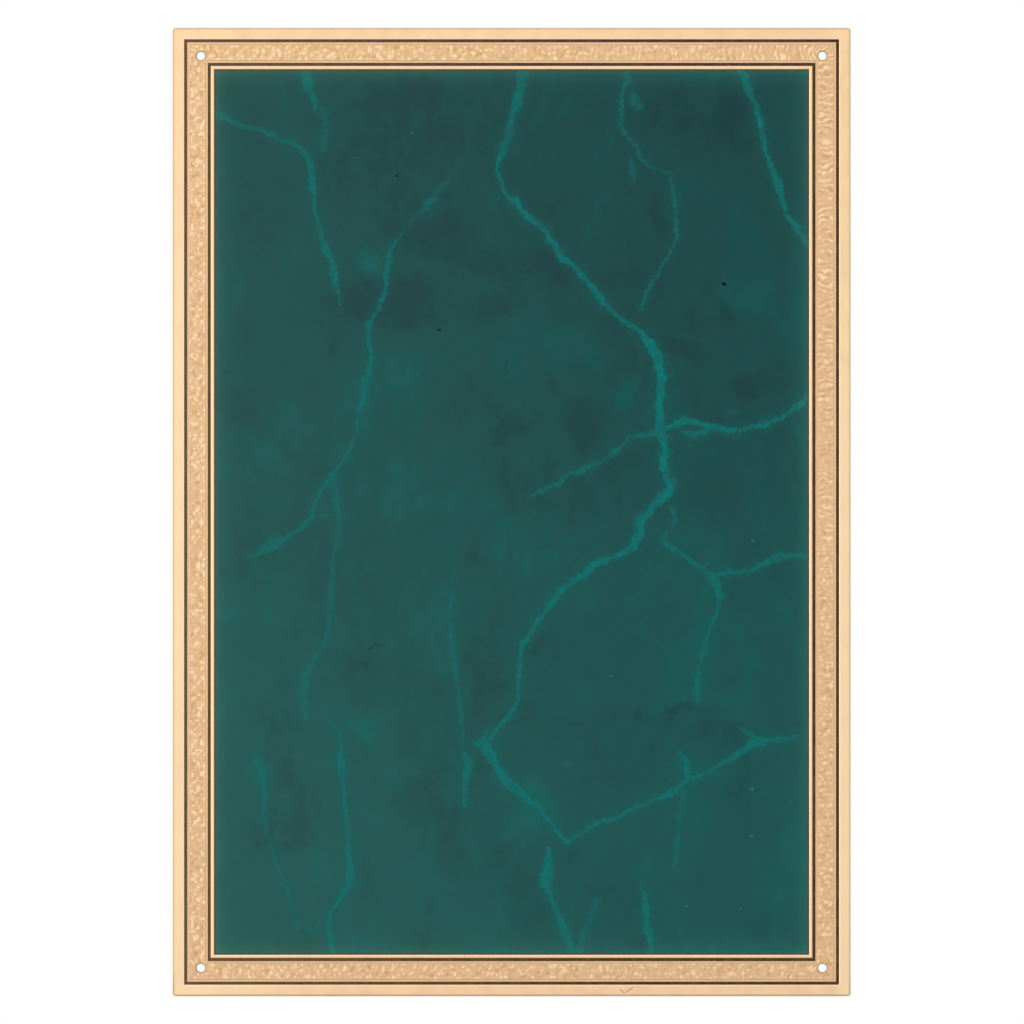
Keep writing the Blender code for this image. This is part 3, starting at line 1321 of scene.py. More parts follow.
@dataclass(frozen=True)
class MarbleLacquer:
    """Green marble-effect lacquer under a clear gloss coat.

    The ground's colours are given for the panel's four corners, as light and as dark as the
    photograph shows them. Scales are in noise cells to a metre, and margins in pixels.

    Attributes:
        dark_cloud: What the darkest clouds multiply the ground by.
        light_cloud: What the lightest clouds multiply it by.
        left_bloom: Colour of the pale bloom along the left edge.
        right_bloom: Its colour along the right edge.
        seam_shade: Colour of the dark line beside the seam.
        ground_across: Shares of the panel's half width between which the left colours turn into
            the right ones.
        ground_down: Shares of its half height, for the top colours and the bottom ones.
        drift: Scale and reach in metres of the clouds' warp.
        broad: Scale and strength of the broad clouds.
        full_cloud: Strength at which a cloud's tint is full.
        streaks: Scales and strengths of the finer clouds.
        streak_stretch: How the finer clouds are stretched.
        shakes: Scales and reaches in metres of the veins' warps.
        worn: Scale of the veins' uneven edges.
        ragged: How far those edges go in and out, in pixels.
        swell: Scale on which the veins widen and narrow.
        swelling: Least and greatest share of their width.
        mottles: Scales and least levels of the patchiness along the veins.
        core_span: Noise between which a vein's core grows from least to most.
        most_core: The core's greatest level.
        smoke_levels: Least and greatest level of the smoke.
        grain: Scale of the fine grain.
        grain_level: Least and greatest level of the grain.
        smear: Scale of the uneven roughness.
        roughness: Least and greatest roughness of the colour coat.
        ripple: Scale of the coat's ripple and its depth in metres.
    """

    top_left: Colour = (0.0205, 0.0895, 0.0830)
    top_right: Colour = (0.0138, 0.0668, 0.0662)
    bottom_left: Colour = (0.0240, 0.1200, 0.1085)
    bottom_right: Colour = (0.0148, 0.0985, 0.0935)
    dark_cloud: Colour = (1.02, 0.78, 0.82)
    light_cloud: Colour = (0.78, 1.22, 1.20)
    vein_core: Colour = (0.0050, 0.1780, 0.1680)
    vein_smoke: Colour = (0.0090, 0.1300, 0.1220)
    left_bloom: Colour = (0.074, 0.195, 0.145)
    right_bloom: Colour = (0.044, 0.198, 0.164)
    seam_shade: Colour = (0.060, 0.052, 0.030)
    speck_dark: Colour = (0.004, 0.010, 0.012)
    speck_pale: Colour = (0.018, 0.235, 0.215)
    bloom_strength: float = 0.47
    bloom_width: float = 1.9 * MM
    seam_shade_width: float = 0.36 * MM
    ground_across: Span = (-1.5, 0.9)
    ground_down: Span = (1.3, -1.3)
    drift: Span = (95.0, 11.0 * MM)
    broad: Span = (28.0, 0.42)
    full_cloud: float = 0.8
    streaks: tuple[Span, ...] = ((60.0, 0.30), (210.0, 0.22))
    streak_stretch: tuple[float, float, float] = (1.3, 0.8, 1.0)
    shakes: tuple[Span, ...] = ((330.0, 1.6 * MM), (1050.0, 0.65 * MM))
    worn: float = 780.0
    ragged: Span = (-1.2, 1.3)
    swell: float = 130.0
    swelling: Span = (0.68, 1.50)
    mottles: tuple[Span, ...] = ((620.0, 0.58), (170.0, 0.62))
    core_span: Span = (0.25, 0.65)
    most_core: float = 1.1
    smoke_levels: Span = (0.45, 1.5)
    grain: float = 3400.0
    grain_level: Span = (0.92, 1.08)
    smear: float = 45.0
    roughness: Span = (0.30, 0.40)
    coat_roughness: float = 0.05
    coat_ior: float = 1.5
    ripple: Span = (480.0, 0.001 * MM)
    cloud_margin: float = 26.0
    vein_margin: float = 22.0
    speck_margin: float = 2.0

    def add_clouds(self, canvas: Canvas, colour: Socket) -> Socket:
        """Darken and lighten the ground in clouds.

        Args:
            canvas: The tile's finish.
            colour: The colour so far.

        Returns:
            The colour with them.
        """
        board = canvas.board
        place = canvas.shake(canvas.flat, *self.drift, detail=3.0, roughness=0.6)
        scale, strength = self.broad
        broad = board.noise(place, scale, detail=4.0, roughness=0.6)
        cloud = board.remap(broad, *WIDE_SPAN, -strength, strength)
        streaked = board.vector("MULTIPLY", place, self.streak_stretch)[0]
        for scale, strength in self.streaks:
            patchy = board.noise(streaked, scale, detail=2.5, roughness=0.6)
            cloud = board.math("ADD", cloud, board.remap(patchy, *WIDE_SPAN, -strength, strength))
        cloud = canvas.add_patches(cloud, CLOUDS, place, CLOUD_CORE, self.cloud_margin)
        for full, tint in ((-self.full_cloud, self.dark_cloud), (self.full_cloud, self.light_cloud)):
            tinted = board.mix(1.0, colour, tint, "MULTIPLY")
            colour = board.mix(board.remap(cloud, 0.0, full), colour, tinted)
        return colour

    def add_veins(self, canvas: Canvas, colour: Socket) -> Socket:
        """Draw the veins that cross the tile, with their smoke.

        Args:
            canvas: The tile's finish.
            colour: The colour so far.

        Returns:
            The colour with them.
        """
        board, flat = canvas.board, canvas.flat
        place = flat
        for scale, reach in self.shakes:
            place = canvas.shake(place, scale, reach)
        worn = board.noise(flat, self.worn, detail=1.5, roughness=0.6)
        ragged = board.remap(worn, *WIDE_SPAN, *self.ragged)
        widths = portions(VEIN_REACH, self.swelling)
        swelling = board.remap(board.noise(flat, self.swell), *NOISE_SPAN, *widths)
        painter = VeinPainter(canvas.plane, board, place, ragged, swelling)
        core: object = 0.0
        smoke: object = 0.0
        for vein in VEINS:
            if canvas.tile.crossed(vein, self.vein_margin):
                line, halo = painter.draw(vein)
                core = board.math("MAXIMUM", core, line)
                smoke = board.math("MAXIMUM", smoke, halo)
        for scale, least in self.mottles:
            mottle = board.noise(flat, scale)
            level = board.remap(mottle, *self.core_span, least, self.most_core)
            core = board.math("MULTIPLY", core, level)
            level = board.remap(mottle, *NOISE_SPAN, *self.smoke_levels)
            smoke = board.math("MULTIPLY", smoke, level)
        colour = board.mix(smoke, colour, self.vein_smoke)
        return board.mix(core, colour, self.vein_core)

    def add_edges(self, canvas: Canvas, colour: Socket, across: Socket, start: float) -> Socket:
        """Add the pale bloom along the panel's edges and the dark line beside the seam.

        Args:
            canvas: The tile's finish.
            colour: The colour so far.
            across: How far right a point lies, from 0 to 1.
            start: Distance from the plate's edge to the panel, in metres.

        Returns:
            The colour with them.
        """
        board = canvas.board
        inwards = board.insets(canvas.plane.outline, start)
        fades = [
            board.math("POWER", math.e, board.math("MULTIPLY", distance, -1 / self.bloom_width))
            for distance in inwards
        ]
        bloom = board.math("MULTIPLY", board.math("ADD", *fades), self.bloom_strength, clamp=True)
        colour = board.mix(bloom, colour, board.mix(across, self.left_bloom, self.right_bloom))
        shade = board.remap(board.math("MINIMUM", *inwards), self.seam_shade_width, 0.0)
        return board.mix(shade, colour, self.seam_shade)

    def add_specks(self, canvas: Canvas, colour: Socket) -> Socket:
        """Add the dark and the pale specks and the fine grain.

        Args:
            canvas: The tile's finish.
            colour: The colour so far.

        Returns:
            The colour with them.
        """
        board, flat = canvas.board, canvas.flat
        for specks, paint in ((DARK_SPECKS, self.speck_dark), (PALE_SPECKS, self.speck_pale)):
            shown = canvas.add_patches(0.0, specks, flat, SPECK_CORE, self.speck_margin)
            colour = board.mix(board.math("MINIMUM", shown, 1.0), colour, paint)
        grain = board.noise(flat, self.grain, detail=1.0)
        level = board.remap(grain, *FULL_SPAN, *self.grain_level)
        grey = board.add("CombineColor")
        for name in ("Red", "Green", "Blue"):
            board.feed(grey.inputs[name], level)
        return board.mix(1.0, colour, grey.outputs[0], "MULTIPLY")

    def material(self, plane: PhotoPlane, border: Border, tile: Tile) -> bpy.types.Material:
        """Build the finish of one tile. Neighbouring tiles run into each other without a join.

        Args:
            plane: Where the photograph's pixels lie.
            border: The stamped border.
            tile: The part of the panel that it covers.

        Returns:
            The material.
        """
        material, board, shader = new_material(f"green_marble_lacquer_{tile.name}")
        canvas = Canvas(board, plane, tile, plane.flat(board))
        start = border.panel_start
        parts = board.axes()
        wide, high = plane.outline.half(start)
        across = board.remap(parts["X"], *portions(wide, self.ground_across))
        down = board.remap(parts["Z"], *portions(high, self.ground_down))
        left = board.mix(down, self.top_left, self.bottom_left)
        colour = board.mix(across, left, board.mix(down, self.top_right, self.bottom_right))
        colour = self.add_clouds(canvas, colour)
        colour = self.add_veins(canvas, colour)
        colour = self.add_edges(canvas, colour, across, start)
        colour = self.add_specks(canvas, colour)

        smear = board.noise(canvas.flat, self.smear, detail=4.0)
        rough = board.remap(smear, *NOISE_SPAN, *self.roughness)
        scale, depth = self.ripple
        board.dress(shader, colour, rough, board.noise(canvas.flat, scale, detail=1.0), depth)
        shader.inputs["Specular IOR Level"].default_value = 0.01
        shader.inputs["Coat Weight"].default_value = 1.0
        shader.inputs["Coat Roughness"].default_value = self.coat_roughness
        shader.inputs["Coat IOR"].default_value = self.coat_ior
        return material


def make_piece(
    name: str, shape: bmesh.types.BMesh, materials: list[bpy.types.Material]
) -> bpy.types.Object:
    """Turn a finished bmesh into an object of the scene.

    Args:
        name: The object's name.
        shape: Its mesh, which is freed.
        materials: Its materials, in the order of the faces' indices.

    Returns:
        The object, at the origin.
    """
    bmesh.ops.recalc_face_normals(shape, faces=shape.faces[:])
    mesh = bpy.data.meshes.new(name)
    shape.to_mesh(mesh)
    shape.free()
    for material in materials:
        mesh.materials.append(material)
    piece = bpy.data.objects.new(name, mesh)
    bpy.context.scene.collection.objects.link(piece)
    return piece


def front_face(shape: bmesh.types.BMesh) -> bmesh.types.BMFace:
    """The face that lies furthest towards -Y."""
    return min(shape.faces, key=lambda face: face.calc_center_median().y)


@dataclass
class FixingHoles:
    """The four punched corner holes.

    Attributes:
        outline: The plate's outline.
        border: The stamped border.
        segments: Sides of each round hole.
        overrun: How far the cutter stands past the sheet, in metres.
    """

    outline: Outline
    border: Border
    segments: int = 48
    overrun: float = 0.5 * MM

    def cutter(self, wall: bpy.types.Material) -> bpy.types.Object:
        """Make the flared round punches that open the holes.

        Args:
            wall: The darker finish of the holes' walls and edge breaks, a painted shade.

        Returns:
            One mesh object with a punch at each corner.
        """
        radius = self.border.hole_diameter / 2
        floor = self.outline.front + self.border.band_depth
        mouth = self.border.hole_edge_break + self.overrun
        half_outline = (
            (0.0, floor - self.overrun),
            (radius + mouth, floor - self.overrun),
            (radius, floor + self.border.hole_edge_break),
            (radius, self.overrun),
            (0.0, self.overrun),
        )
        shape = bmesh.new()
        reach_x, reach_z = self.outline.half(self.border.hole_inset)
        for x in (-reach_x, reach_x):
            for z in (-reach_z, reach_z):
                verts = [shape.verts.new((x + out, y, z)) for out, y in half_outline]
                edges = [shape.edges.new(pair) for pair in zip(verts, verts[1:])]
                bmesh.ops.spin(
                    shape, geom=verts + edges, cent=(x, 0, z), axis=(0, 1, 0),
                    angle=math.tau, steps=self.segments, use_merge=True,
                )
        bmesh.ops.remove_doubles(shape, verts=shape.verts[:], dist=WELD)
        return make_piece("hole_punches", shape, [wall])

    def punch(self, piece: bpy.types.Object, cutter: bpy.types.Object) -> None:
        """Cut the holes through a piece and bake the result into its mesh.

        Args:
            piece: The piece to cut.
            cutter: The punches.
        """
        cut = piece.modifiers.new("fixing_holes", "BOOLEAN")
        cut.operation = "DIFFERENCE"
        cut.solver = "EXACT"
        cut.material_mode = "TRANSFER"
        cut.object = cutter
        state = bpy.context.evaluated_depsgraph_get()
        whole = piece.data
        piece.data = bpy.data.meshes.new_from_object(piece.evaluated_get(state))
        piece.data.name = piece.name
        piece.modifiers.clear()
        bpy.data.meshes.remove(whole)


@dataclass
class StampedSheet:
    """The sheet: rim, filled grooves, lips, bead, seam, seats and back.

    Attributes:
        outline: The plate's outline.
        border: The stamped border.
        corner_radius: Radius of the four corners, in metres.
        front_round: Rounding of the front edge, in metres.
        back_round: Rounding of the back edge, in metres.
        corner_segments: Steps round a corner.
        edge_segments: Steps round a rounded edge.
        rim_reach: How near the outline an edge counts as one of its own, in metres.
    """

    outline: Outline
    border: Border
    corner_radius: float = 0.8 * MM
    front_round: float = 0.12 * MM
    back_round: float = 0.06 * MM
    corner_segments: int = 8
    edge_segments: int = 4
    rim_reach: float = 0.5 * MM

    def work_border(self, shape: bmesh.types.BMesh) -> None:
        """Step the front face inwards, ring by ring.

        Args:
            shape: The sheet's mesh.
        """
        front = front_face(shape)
        for ring in self.border.rings():
            made = bmesh.ops.inset_region(
                shape, faces=[front], thickness=max(ring.width, LEAST_STEP), use_even_offset=True
            )
            for face in made["faces"]:
                face.material_index = ring.surface.value
            for vert in front.verts:
                vert.co.y = self.outline.front + ring.depth

    def round_edges(self, shape: bmesh.types.BMesh) -> None:
        """Round the corners and the front and back edges.

        Args:
            shape: The sheet's mesh.
        """
        corners = [
            edge
            for edge in shape.edges
            if abs(edge.verts[0].co.y - edge.verts[1].co.y) > self.outline.thickness / 2
            and all(abs(abs(vert.co.x) - self.outline.width / 2) < LEAST_STEP for vert in edge.verts)
        ]
        bmesh.ops.bevel(
            shape, geom=corners, affect="EDGES", offset=self.corner_radius,
            segments=self.corner_segments, profile=0.5, material=-1,
        )
        for y, size in ((self.outline.front, self.front_round), (0.0, self.back_round)):
            rim = [
                edge
                for edge in shape.edges
                if all(abs(vert.co.y - y) < WELD for vert in edge.verts)
                and any(abs(face.normal.y) < 0.1 for face in edge.link_faces)
                and all(self.outline.inset(vert.co) < self.rim_reach for vert in edge.verts)
            ]
            bmesh.ops.bevel(
                shape, geom=rim, affect="EDGES", offset=size, segments=self.edge_segments,
                profile=0.5, material=-1,
            )

    def build(self, materials: list[bpy.types.Material]) -> bpy.types.Object:
        """Make the sheet.

        Args:
            materials: Gold, enamel, back and the gold with painted shade, in the order of Surface.

        Returns:
            The sheet, without its holes.
        """
        shape = bmesh.new()
        size = Matrix.Diagonal((self.outline.width, self.outline.thickness, self.outline.height, 1))
        place = Matrix.Translation((0, -self.outline.thickness / 2, 0))
        bmesh.ops.create_cube(shape, size=1.0, matrix=place @ size)
        self.work_border(shape)
        self.round_edges(shape)
        shape.normal_update()
        for face in shape.faces:
            if face.normal.y > 0.9:
                face.material_index = Surface.BACK.value
        return make_piece("gold_border_sheet", shape, materials)


@dataclass(frozen=True)
class Hammering:
    """The band's hand-hammered look: wavy ridges across it, and blobs, flecks and pits.

    Attributes:
        depth: From the deepest hollow to the highest crest, in metres.
        side_pitch: From one ridge to the next down the sides, in metres.
        end_pitch: The same along the top and bottom, in metres.
        waviness: Sizes in metres and strengths of the ridges' wandering.
        ridge_power: Exponent that makes the ridges narrower than the hollows.
        swell_size: Over what distance the ridges grow and shrink, in metres.
        swell: Middle and range of their strength.
        swell_limits: Least and greatest strength.
        ridge_middle: Height of a ridge's middle, and the part of its wave that lies below it.
        blob_size: Size of one blob, in metres.
        fleck_size: Size of one bright fleck, in metres.
        pit_size: Size of one fine pit, in metres.
        fleck_level: Noise above which a fleck rises.
        blob_base: Height that blobs, pits and flecks are added to.
        blob_mix: Strengths of blobs, of pits and of flecks.
        mix_size: Over what distance ridges give way to blobs, in metres.
        mix_strength: How strongly they do.
        ridged_share: Least share of ridges, and how much more there is on the upper right.
        upward: How fast the ridges' share grows up the plate.
        most_ridged: Greatest share of ridges.
        corner_blend: Over what distance the ridges turn at a corner, in metres.
    """

    depth: float = 0.110 * MM
    side_pitch: float = 1.65 * MM
    end_pitch: float = 1.4 * MM
    waviness: tuple[Span, ...] = ((3.4 * MM, 1.0), (1.3 * MM, 0.46))
    ridge_power: float = 1.3
    swell_size: float = 1.9 * MM
    swell: Span = (0.74, 1.2)
    swell_limits: Span = (0.15, 1.1)
    ridge_middle: Span = (0.47, 0.40)
    blob_size: float = 1.25 * MM
    fleck_size: float = 0.85 * MM
    pit_size: float = 0.55 * MM
    fleck_level: float = 0.12
    blob_base: float = 0.42
    blob_mix: tuple[float, float, float] = (0.50, 0.24, 1.7)
    mix_size: float = 9 * MM
    mix_strength: float = 0.35
    ridged_share: Span = (0.10, 0.62)
    upward: float = 1.4
    most_ridged: float = 0.78
    corner_blend: float = 1.5 * MM

    def ridges(self, along: float, pitch: float, place: Vector) -> float:
        """Wavy ridges that run across the band.

        Args:
            along: Place along the band, in metres.
            pitch: From one ridge to the next, in metres.
            place: The point, for the ridges' waviness.

        Returns:
            Height from 0 to 1.
        """
        phase = along / pitch + sum(push * noise.noise(place / size) for size, push in self.waviness)
        sharp = (0.5 + 0.5 * math.cos(math.tau * phase)) ** self.ridge_power
        middle, reach = self.swell
        swell = middle + reach * noise.noise(place / self.swell_size + Vector((7.0, 0.0, 0.0)))
        base, below = self.ridge_middle
        return base + (sharp - below) * held(swell, *self.swell_limits)

    def blobs(self, place: Vector) -> float:
        """Blobs with no direction, with bright flecks on some of them.

        Args:
            place: The point.

        Returns:
            Height from 0 to 1.
        """
        coarse = noise.noise(place / self.blob_size)
        flecks = noise.noise(place / self.fleck_size + Vector((0.0, 5.0, 3.0)))
        pits = noise.noise(place / self.pit_size + Vector((3.0, 0.0, 8.0)))
        risen = max(flecks - self.fleck_level, 0.0)
        blob, pit, fleck = self.blob_mix
        return held(self.blob_base + blob * coarse + pit * pits + fleck * risen)

    def ridged(self, place: Vector, outline: Outline) -> float:
        """How much of the relief is ridges rather than blobs.

        Args:
            place: The point.
            outline: The plate's outline.

        Returns:
            A share from 0 to 1: most on the upper right, least on the left and low down.
        """
        right = 0.5 + place.x / outline.width
        top = 0.5 + place.z / outline.height
        patchy = self.mix_strength * noise.noise(place / self.mix_size)
        least, more = self.ridged_share
        share = least + more * right**2 * min(self.upward * top, 1.0) + patchy
        return held(share, 0.0, self.most_ridged)

    def height(self, place: Vector, outline: Outline) -> float:
        """The relief at one point.

        Args:
            place: The point.
            outline: The plate's outline.

        Returns:
            Height from 0 to 1.
        """
        beside = (outline.height / 2 - abs(place.z)) - (outline.width / 2 - abs(place.x))
        upright = held(0.5 + beside / self.corner_blend)
        lines = upright * self.ridges(place.z, self.side_pitch, place)
        lines += (1 - upright) * self.ridges(place.x, self.end_pitch, place)
        share = self.ridged(place, outline)
        return share * lines + (1 - share) * self.blobs(place)


@dataclass
class HammeredBand:
    """The sunk band with its hammered relief, laid in the sheet's seat.

    Attributes:
        outline: The plate's outline.
        border: The stamped border.
        hammering: The relief.
        cell: Size of one mesh cell, in metres.
        edge_fade: Over what distance the relief dies at the lips and the holes, in metres.
        cove_width: How far the hollow curve at the lips reaches, in metres.
        relief_name: The mesh attribute that holds the relief.
    """

    outline: Outline
    border: Border
    hammering: Hammering = field(default_factory=Hammering)
    cell: float = 0.25 * MM
    edge_fade: float = 0.28 * MM
    cove_width: float = 0.8 * MM
    relief_name: str = "relief"

    def lay_grids(self, shape: bmesh.types.BMesh) -> None:
        """Lay the band's eight flat grids and weld them into one ring.

        Args:
            shape: The band's empty mesh.
        """
        width = self.border.band_floor_width
        reaches = self.outline.half(self.border.band_start)
        marks = [(-reach, -reach + width, reach - width, reach) for reach in reaches]
        columns, rows = (list(zip(ends, ends[1:])) for ends in marks)
        upright = Matrix.Rotation(math.radians(90), 4, "X")
        floor = self.outline.front + self.border.band_depth
        for column, (left, right) in enumerate(columns):
            for row, (low, high) in enumerate(rows):
                if column == 1 and row == 1:
                    continue
                size = Matrix.Diagonal((right - left, 1, high - low, 1))
                place = Matrix.Translation(((left + right) / 2, floor, (low + high) / 2))
                bmesh.ops.create_grid(
                    shape,
                    x_segments=round((right - left) / self.cell),
                    y_segments=round((high - low) / self.cell),
                    size=0.5,
                    matrix=place @ size @ upright,
                )
        bmesh.ops.remove_doubles(shape, verts=shape.verts[:], dist=2 * WELD)

    def emboss(self, shape: bmesh.types.BMesh) -> None:
        """Raise and sink the ring's points to the hammered relief.

        Args:
            shape: The band's flat ring.
        """
        relief = shape.verts.layers.float.new(self.relief_name)
        floor = self.outline.front + self.border.band_depth
        cove = self.border.band_depth - self.border.band_edge_depth
        hole_x, hole_z = self.outline.half(self.border.hole_inset)
        mouth = self.border.hole_diameter / 2 + self.border.hole_edge_break
        for vert in shape.verts:
            inset = self.outline.inset(vert.co)
            edge = min(inset - self.border.band_start, self.border.band_end - inset)
            hole = math.hypot(abs(vert.co.x) - hole_x, abs(vert.co.z) - hole_z) - mouth
            fade = held(min(edge, hole) / self.edge_fade)
            rise = cove * max(1 - edge / self.cove_width, 0.0) ** 2
            height = self.hammering.height(vert.co, self.outline)
            swing = (height - 0.5) * fade
            vert[relief] = 0.5 + swing
            vert.co.y = floor - swing * self.hammering.depth - rise

    def close_underside(self, shape: bmesh.types.BMesh) -> None:
        """Give the ring its side walls and its flat underside.

        Args:
            shape: The embossed ring.
        """
        open_edges = [edge for edge in shape.edges if edge.is_boundary]
        made = bmesh.ops.extrude_edge_only(shape, edges=open_edges)
        seat = self.outline.front + self.border.foot_depth
        for item in made["geom"]:
            if isinstance(item, bmesh.types.BMVert):
                item.co.y = seat
        foot = [edge for edge in shape.edges if edge.is_boundary]
        bmesh.ops.bridge_loops(shape, edges=foot)

    def build(self, material: bpy.types.Material) -> bpy.types.Object:
        """Make the band.

        Args:
            material: The hammered gold.

        Returns:
            The band, without its holes.
        """
        shape = bmesh.new()
        self.lay_grids(shape)
        self.emboss(shape)
        self.close_underside(shape)
        for face in shape.faces:
            face.smooth = abs(face.normal.y) > 0.3
        return make_piece("hammered_band", shape, [material])


@dataclass
class MarblePanel:
    """The lacquered panel inside the bead, with its softly rounded lacquer edge.

    Attributes:
        plane: Where the photograph's pixels lie.
        border: The stamped border.
        columns: How many tiles across it is painted in.
        rows: How many tiles down.
        edge_round: Rounding of the lacquer's edge, in metres.
    """

    plane: PhotoPlane
    border: Border
    columns: int = 3
    rows: int = 4
    edge_round: float = 0.045 * MM

    @property
    def half_size(self) -> Vector:
        """Half the panel's width and height."""
        return Vector(self.plane.outline.half(self.border.panel_start))

    def tiles(self) -> list[Tile]:
        """The panel's tiles, row by row from the top left."""
        half = self.half_size / self.plane.pixel
        centre = self.plane.centre
        wide, high = 2 * half.x / self.columns, 2 * half.y / self.rows
        made = []
        for row in range(self.rows):
            for column in range(self.columns):
                left = centre[0] - half.x + column * wide
                top = centre[1] - half.y + row * high
                made.append(Tile((left, top), (left + wide, top + high), f"r{row + 1}c{column + 1}"))
        return made

    def mark_tiles(self, shape: bmesh.types.BMesh) -> None:
        """Cut the panel along the tiles' borders and give each tile's faces its material.

        Args:
            shape: The panel's mesh.
        """
        half = self.half_size
        across = [-half.x + 2 * half.x * step / self.columns for step in range(1, self.columns)]
        down = [half.y - 2 * half.y * step / self.rows for step in range(1, self.rows)]
        cuts = [((x, 0, 0), (1, 0, 0)) for x in across] + [((0, 0, z), (0, 0, 1)) for z in down]
        for point, normal in cuts:
            everything = shape.verts[:] + shape.edges[:] + shape.faces[:]
            bmesh.ops.bisect_plane(shape, geom=everything, plane_co=point, plane_no=normal)
        for face in shape.faces:
            middle = face.calc_center_median()
            column = int(self.columns * (middle.x + half.x) / (2 * half.x))
            row = int(self.rows * (half.y - middle.z) / (2 * half.y))
            row, column = held(row, 0, self.rows - 1), held(column, 0, self.columns - 1)
            face.material_index = row * self.columns + column

    def build(self, materials: list[bpy.types.Material]) -> bpy.types.Object:
        """Make the panel.

        Args:
            materials: The marble lacquer of each tile.

        Returns:
            The panel.
        """
        half = self.half_size
        front = self.plane.outline.front + self.border.panel_depth
        back = self.plane.outline.front + self.border.foot_depth
        shape = bmesh.new()
        size = Matrix.Diagonal((2 * half.x, back - front, 2 * half.y, 1))
        place = Matrix.Translation((0, (front + back) / 2, 0))
        bmesh.ops.create_cube(shape, size=1.0, matrix=place @ size)
        bmesh.ops.bevel(
            shape, geom=list(front_face(shape).edges), affect="EDGES", offset=self.edge_round,
            segments=4, profile=0.5, material=-1,
        )
        self.mark_tiles(shape)
        return make_piece("marble_panel", shape, materials)


@dataclass
class PlaquePlate:
    """The whole plate: its pieces, their finishes and where they belong in the frame.

    Attributes:
        outline: The plate's outline.
        border: The stamped border.
    """

    outline: Outline
    border: Border = field(default_factory=Border)

    def build(self) -> list[bpy.types.Object]:
        """Make and dress every piece.

        Returns:
            The pieces.
        """
        grain = grain_group()
        plane = PhotoPlane(self.outline, patch_group())
        gold = SatinGold(glare=Glare(), scratches=RIM_SCRATCH).material(grain, plane)
        enamel = LineEnamel().material(self.outline)
        back = SatinGold(
            name="back_brass", pale=(0.79, 0.55, 0.300), deep=(0.735, 0.50, 0.268),
            roughness=(0.40, 0.54), grain_scale=4200.0, rolling=26.0,
        ).material(grain, plane)
        # A darker copy of the gold: painted shade on the lips, the band's steps and the bead's flanks.
        lip = SatinGold(
            name="painted_shade_gold", pale=(0.80, 0.54, 0.31), deep=(0.77, 0.515, 0.29)
        ).material(grain, plane)
        # A darker gold on the holes' walls and edge breaks: painted shade round the holes.
        punched = SatinGold(
            name="hole_wall_painted_shade", pale=(0.60, 0.45, 0.33), deep=(0.52, 0.38, 0.27)
        ).material(grain, plane)
        band = HammeredBand(self.outline, self.border)
        hammered = HammeredGold().material(grain, band.relief_name)
        panel = MarblePanel(plane, self.border)
        lacquer = MarbleLacquer()
        marble = [lacquer.material(plane, self.border, tile) for tile in panel.tiles()]

        holes = FixingHoles(self.outline, self.border)
        cutter = holes.cutter(punched)
        sheet_piece = StampedSheet(self.outline, self.border).build([gold, enamel, back, lip])
        band_piece = band.build(hammered)
        for piece in (sheet_piece, band_piece):
            holes.punch(piece, cutter)
        bpy.data.objects.remove(cutter)
        panel_piece = panel.build(marble)

        slots = ((sheet_piece, Slot.GOLD), (band_piece, Slot.GOLD), (panel_piece, Slot.MARBLE))
        for piece, slot in slots:
            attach(piece, BODY)
            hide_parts(NODE)
        return [piece for piece, _ in slots]


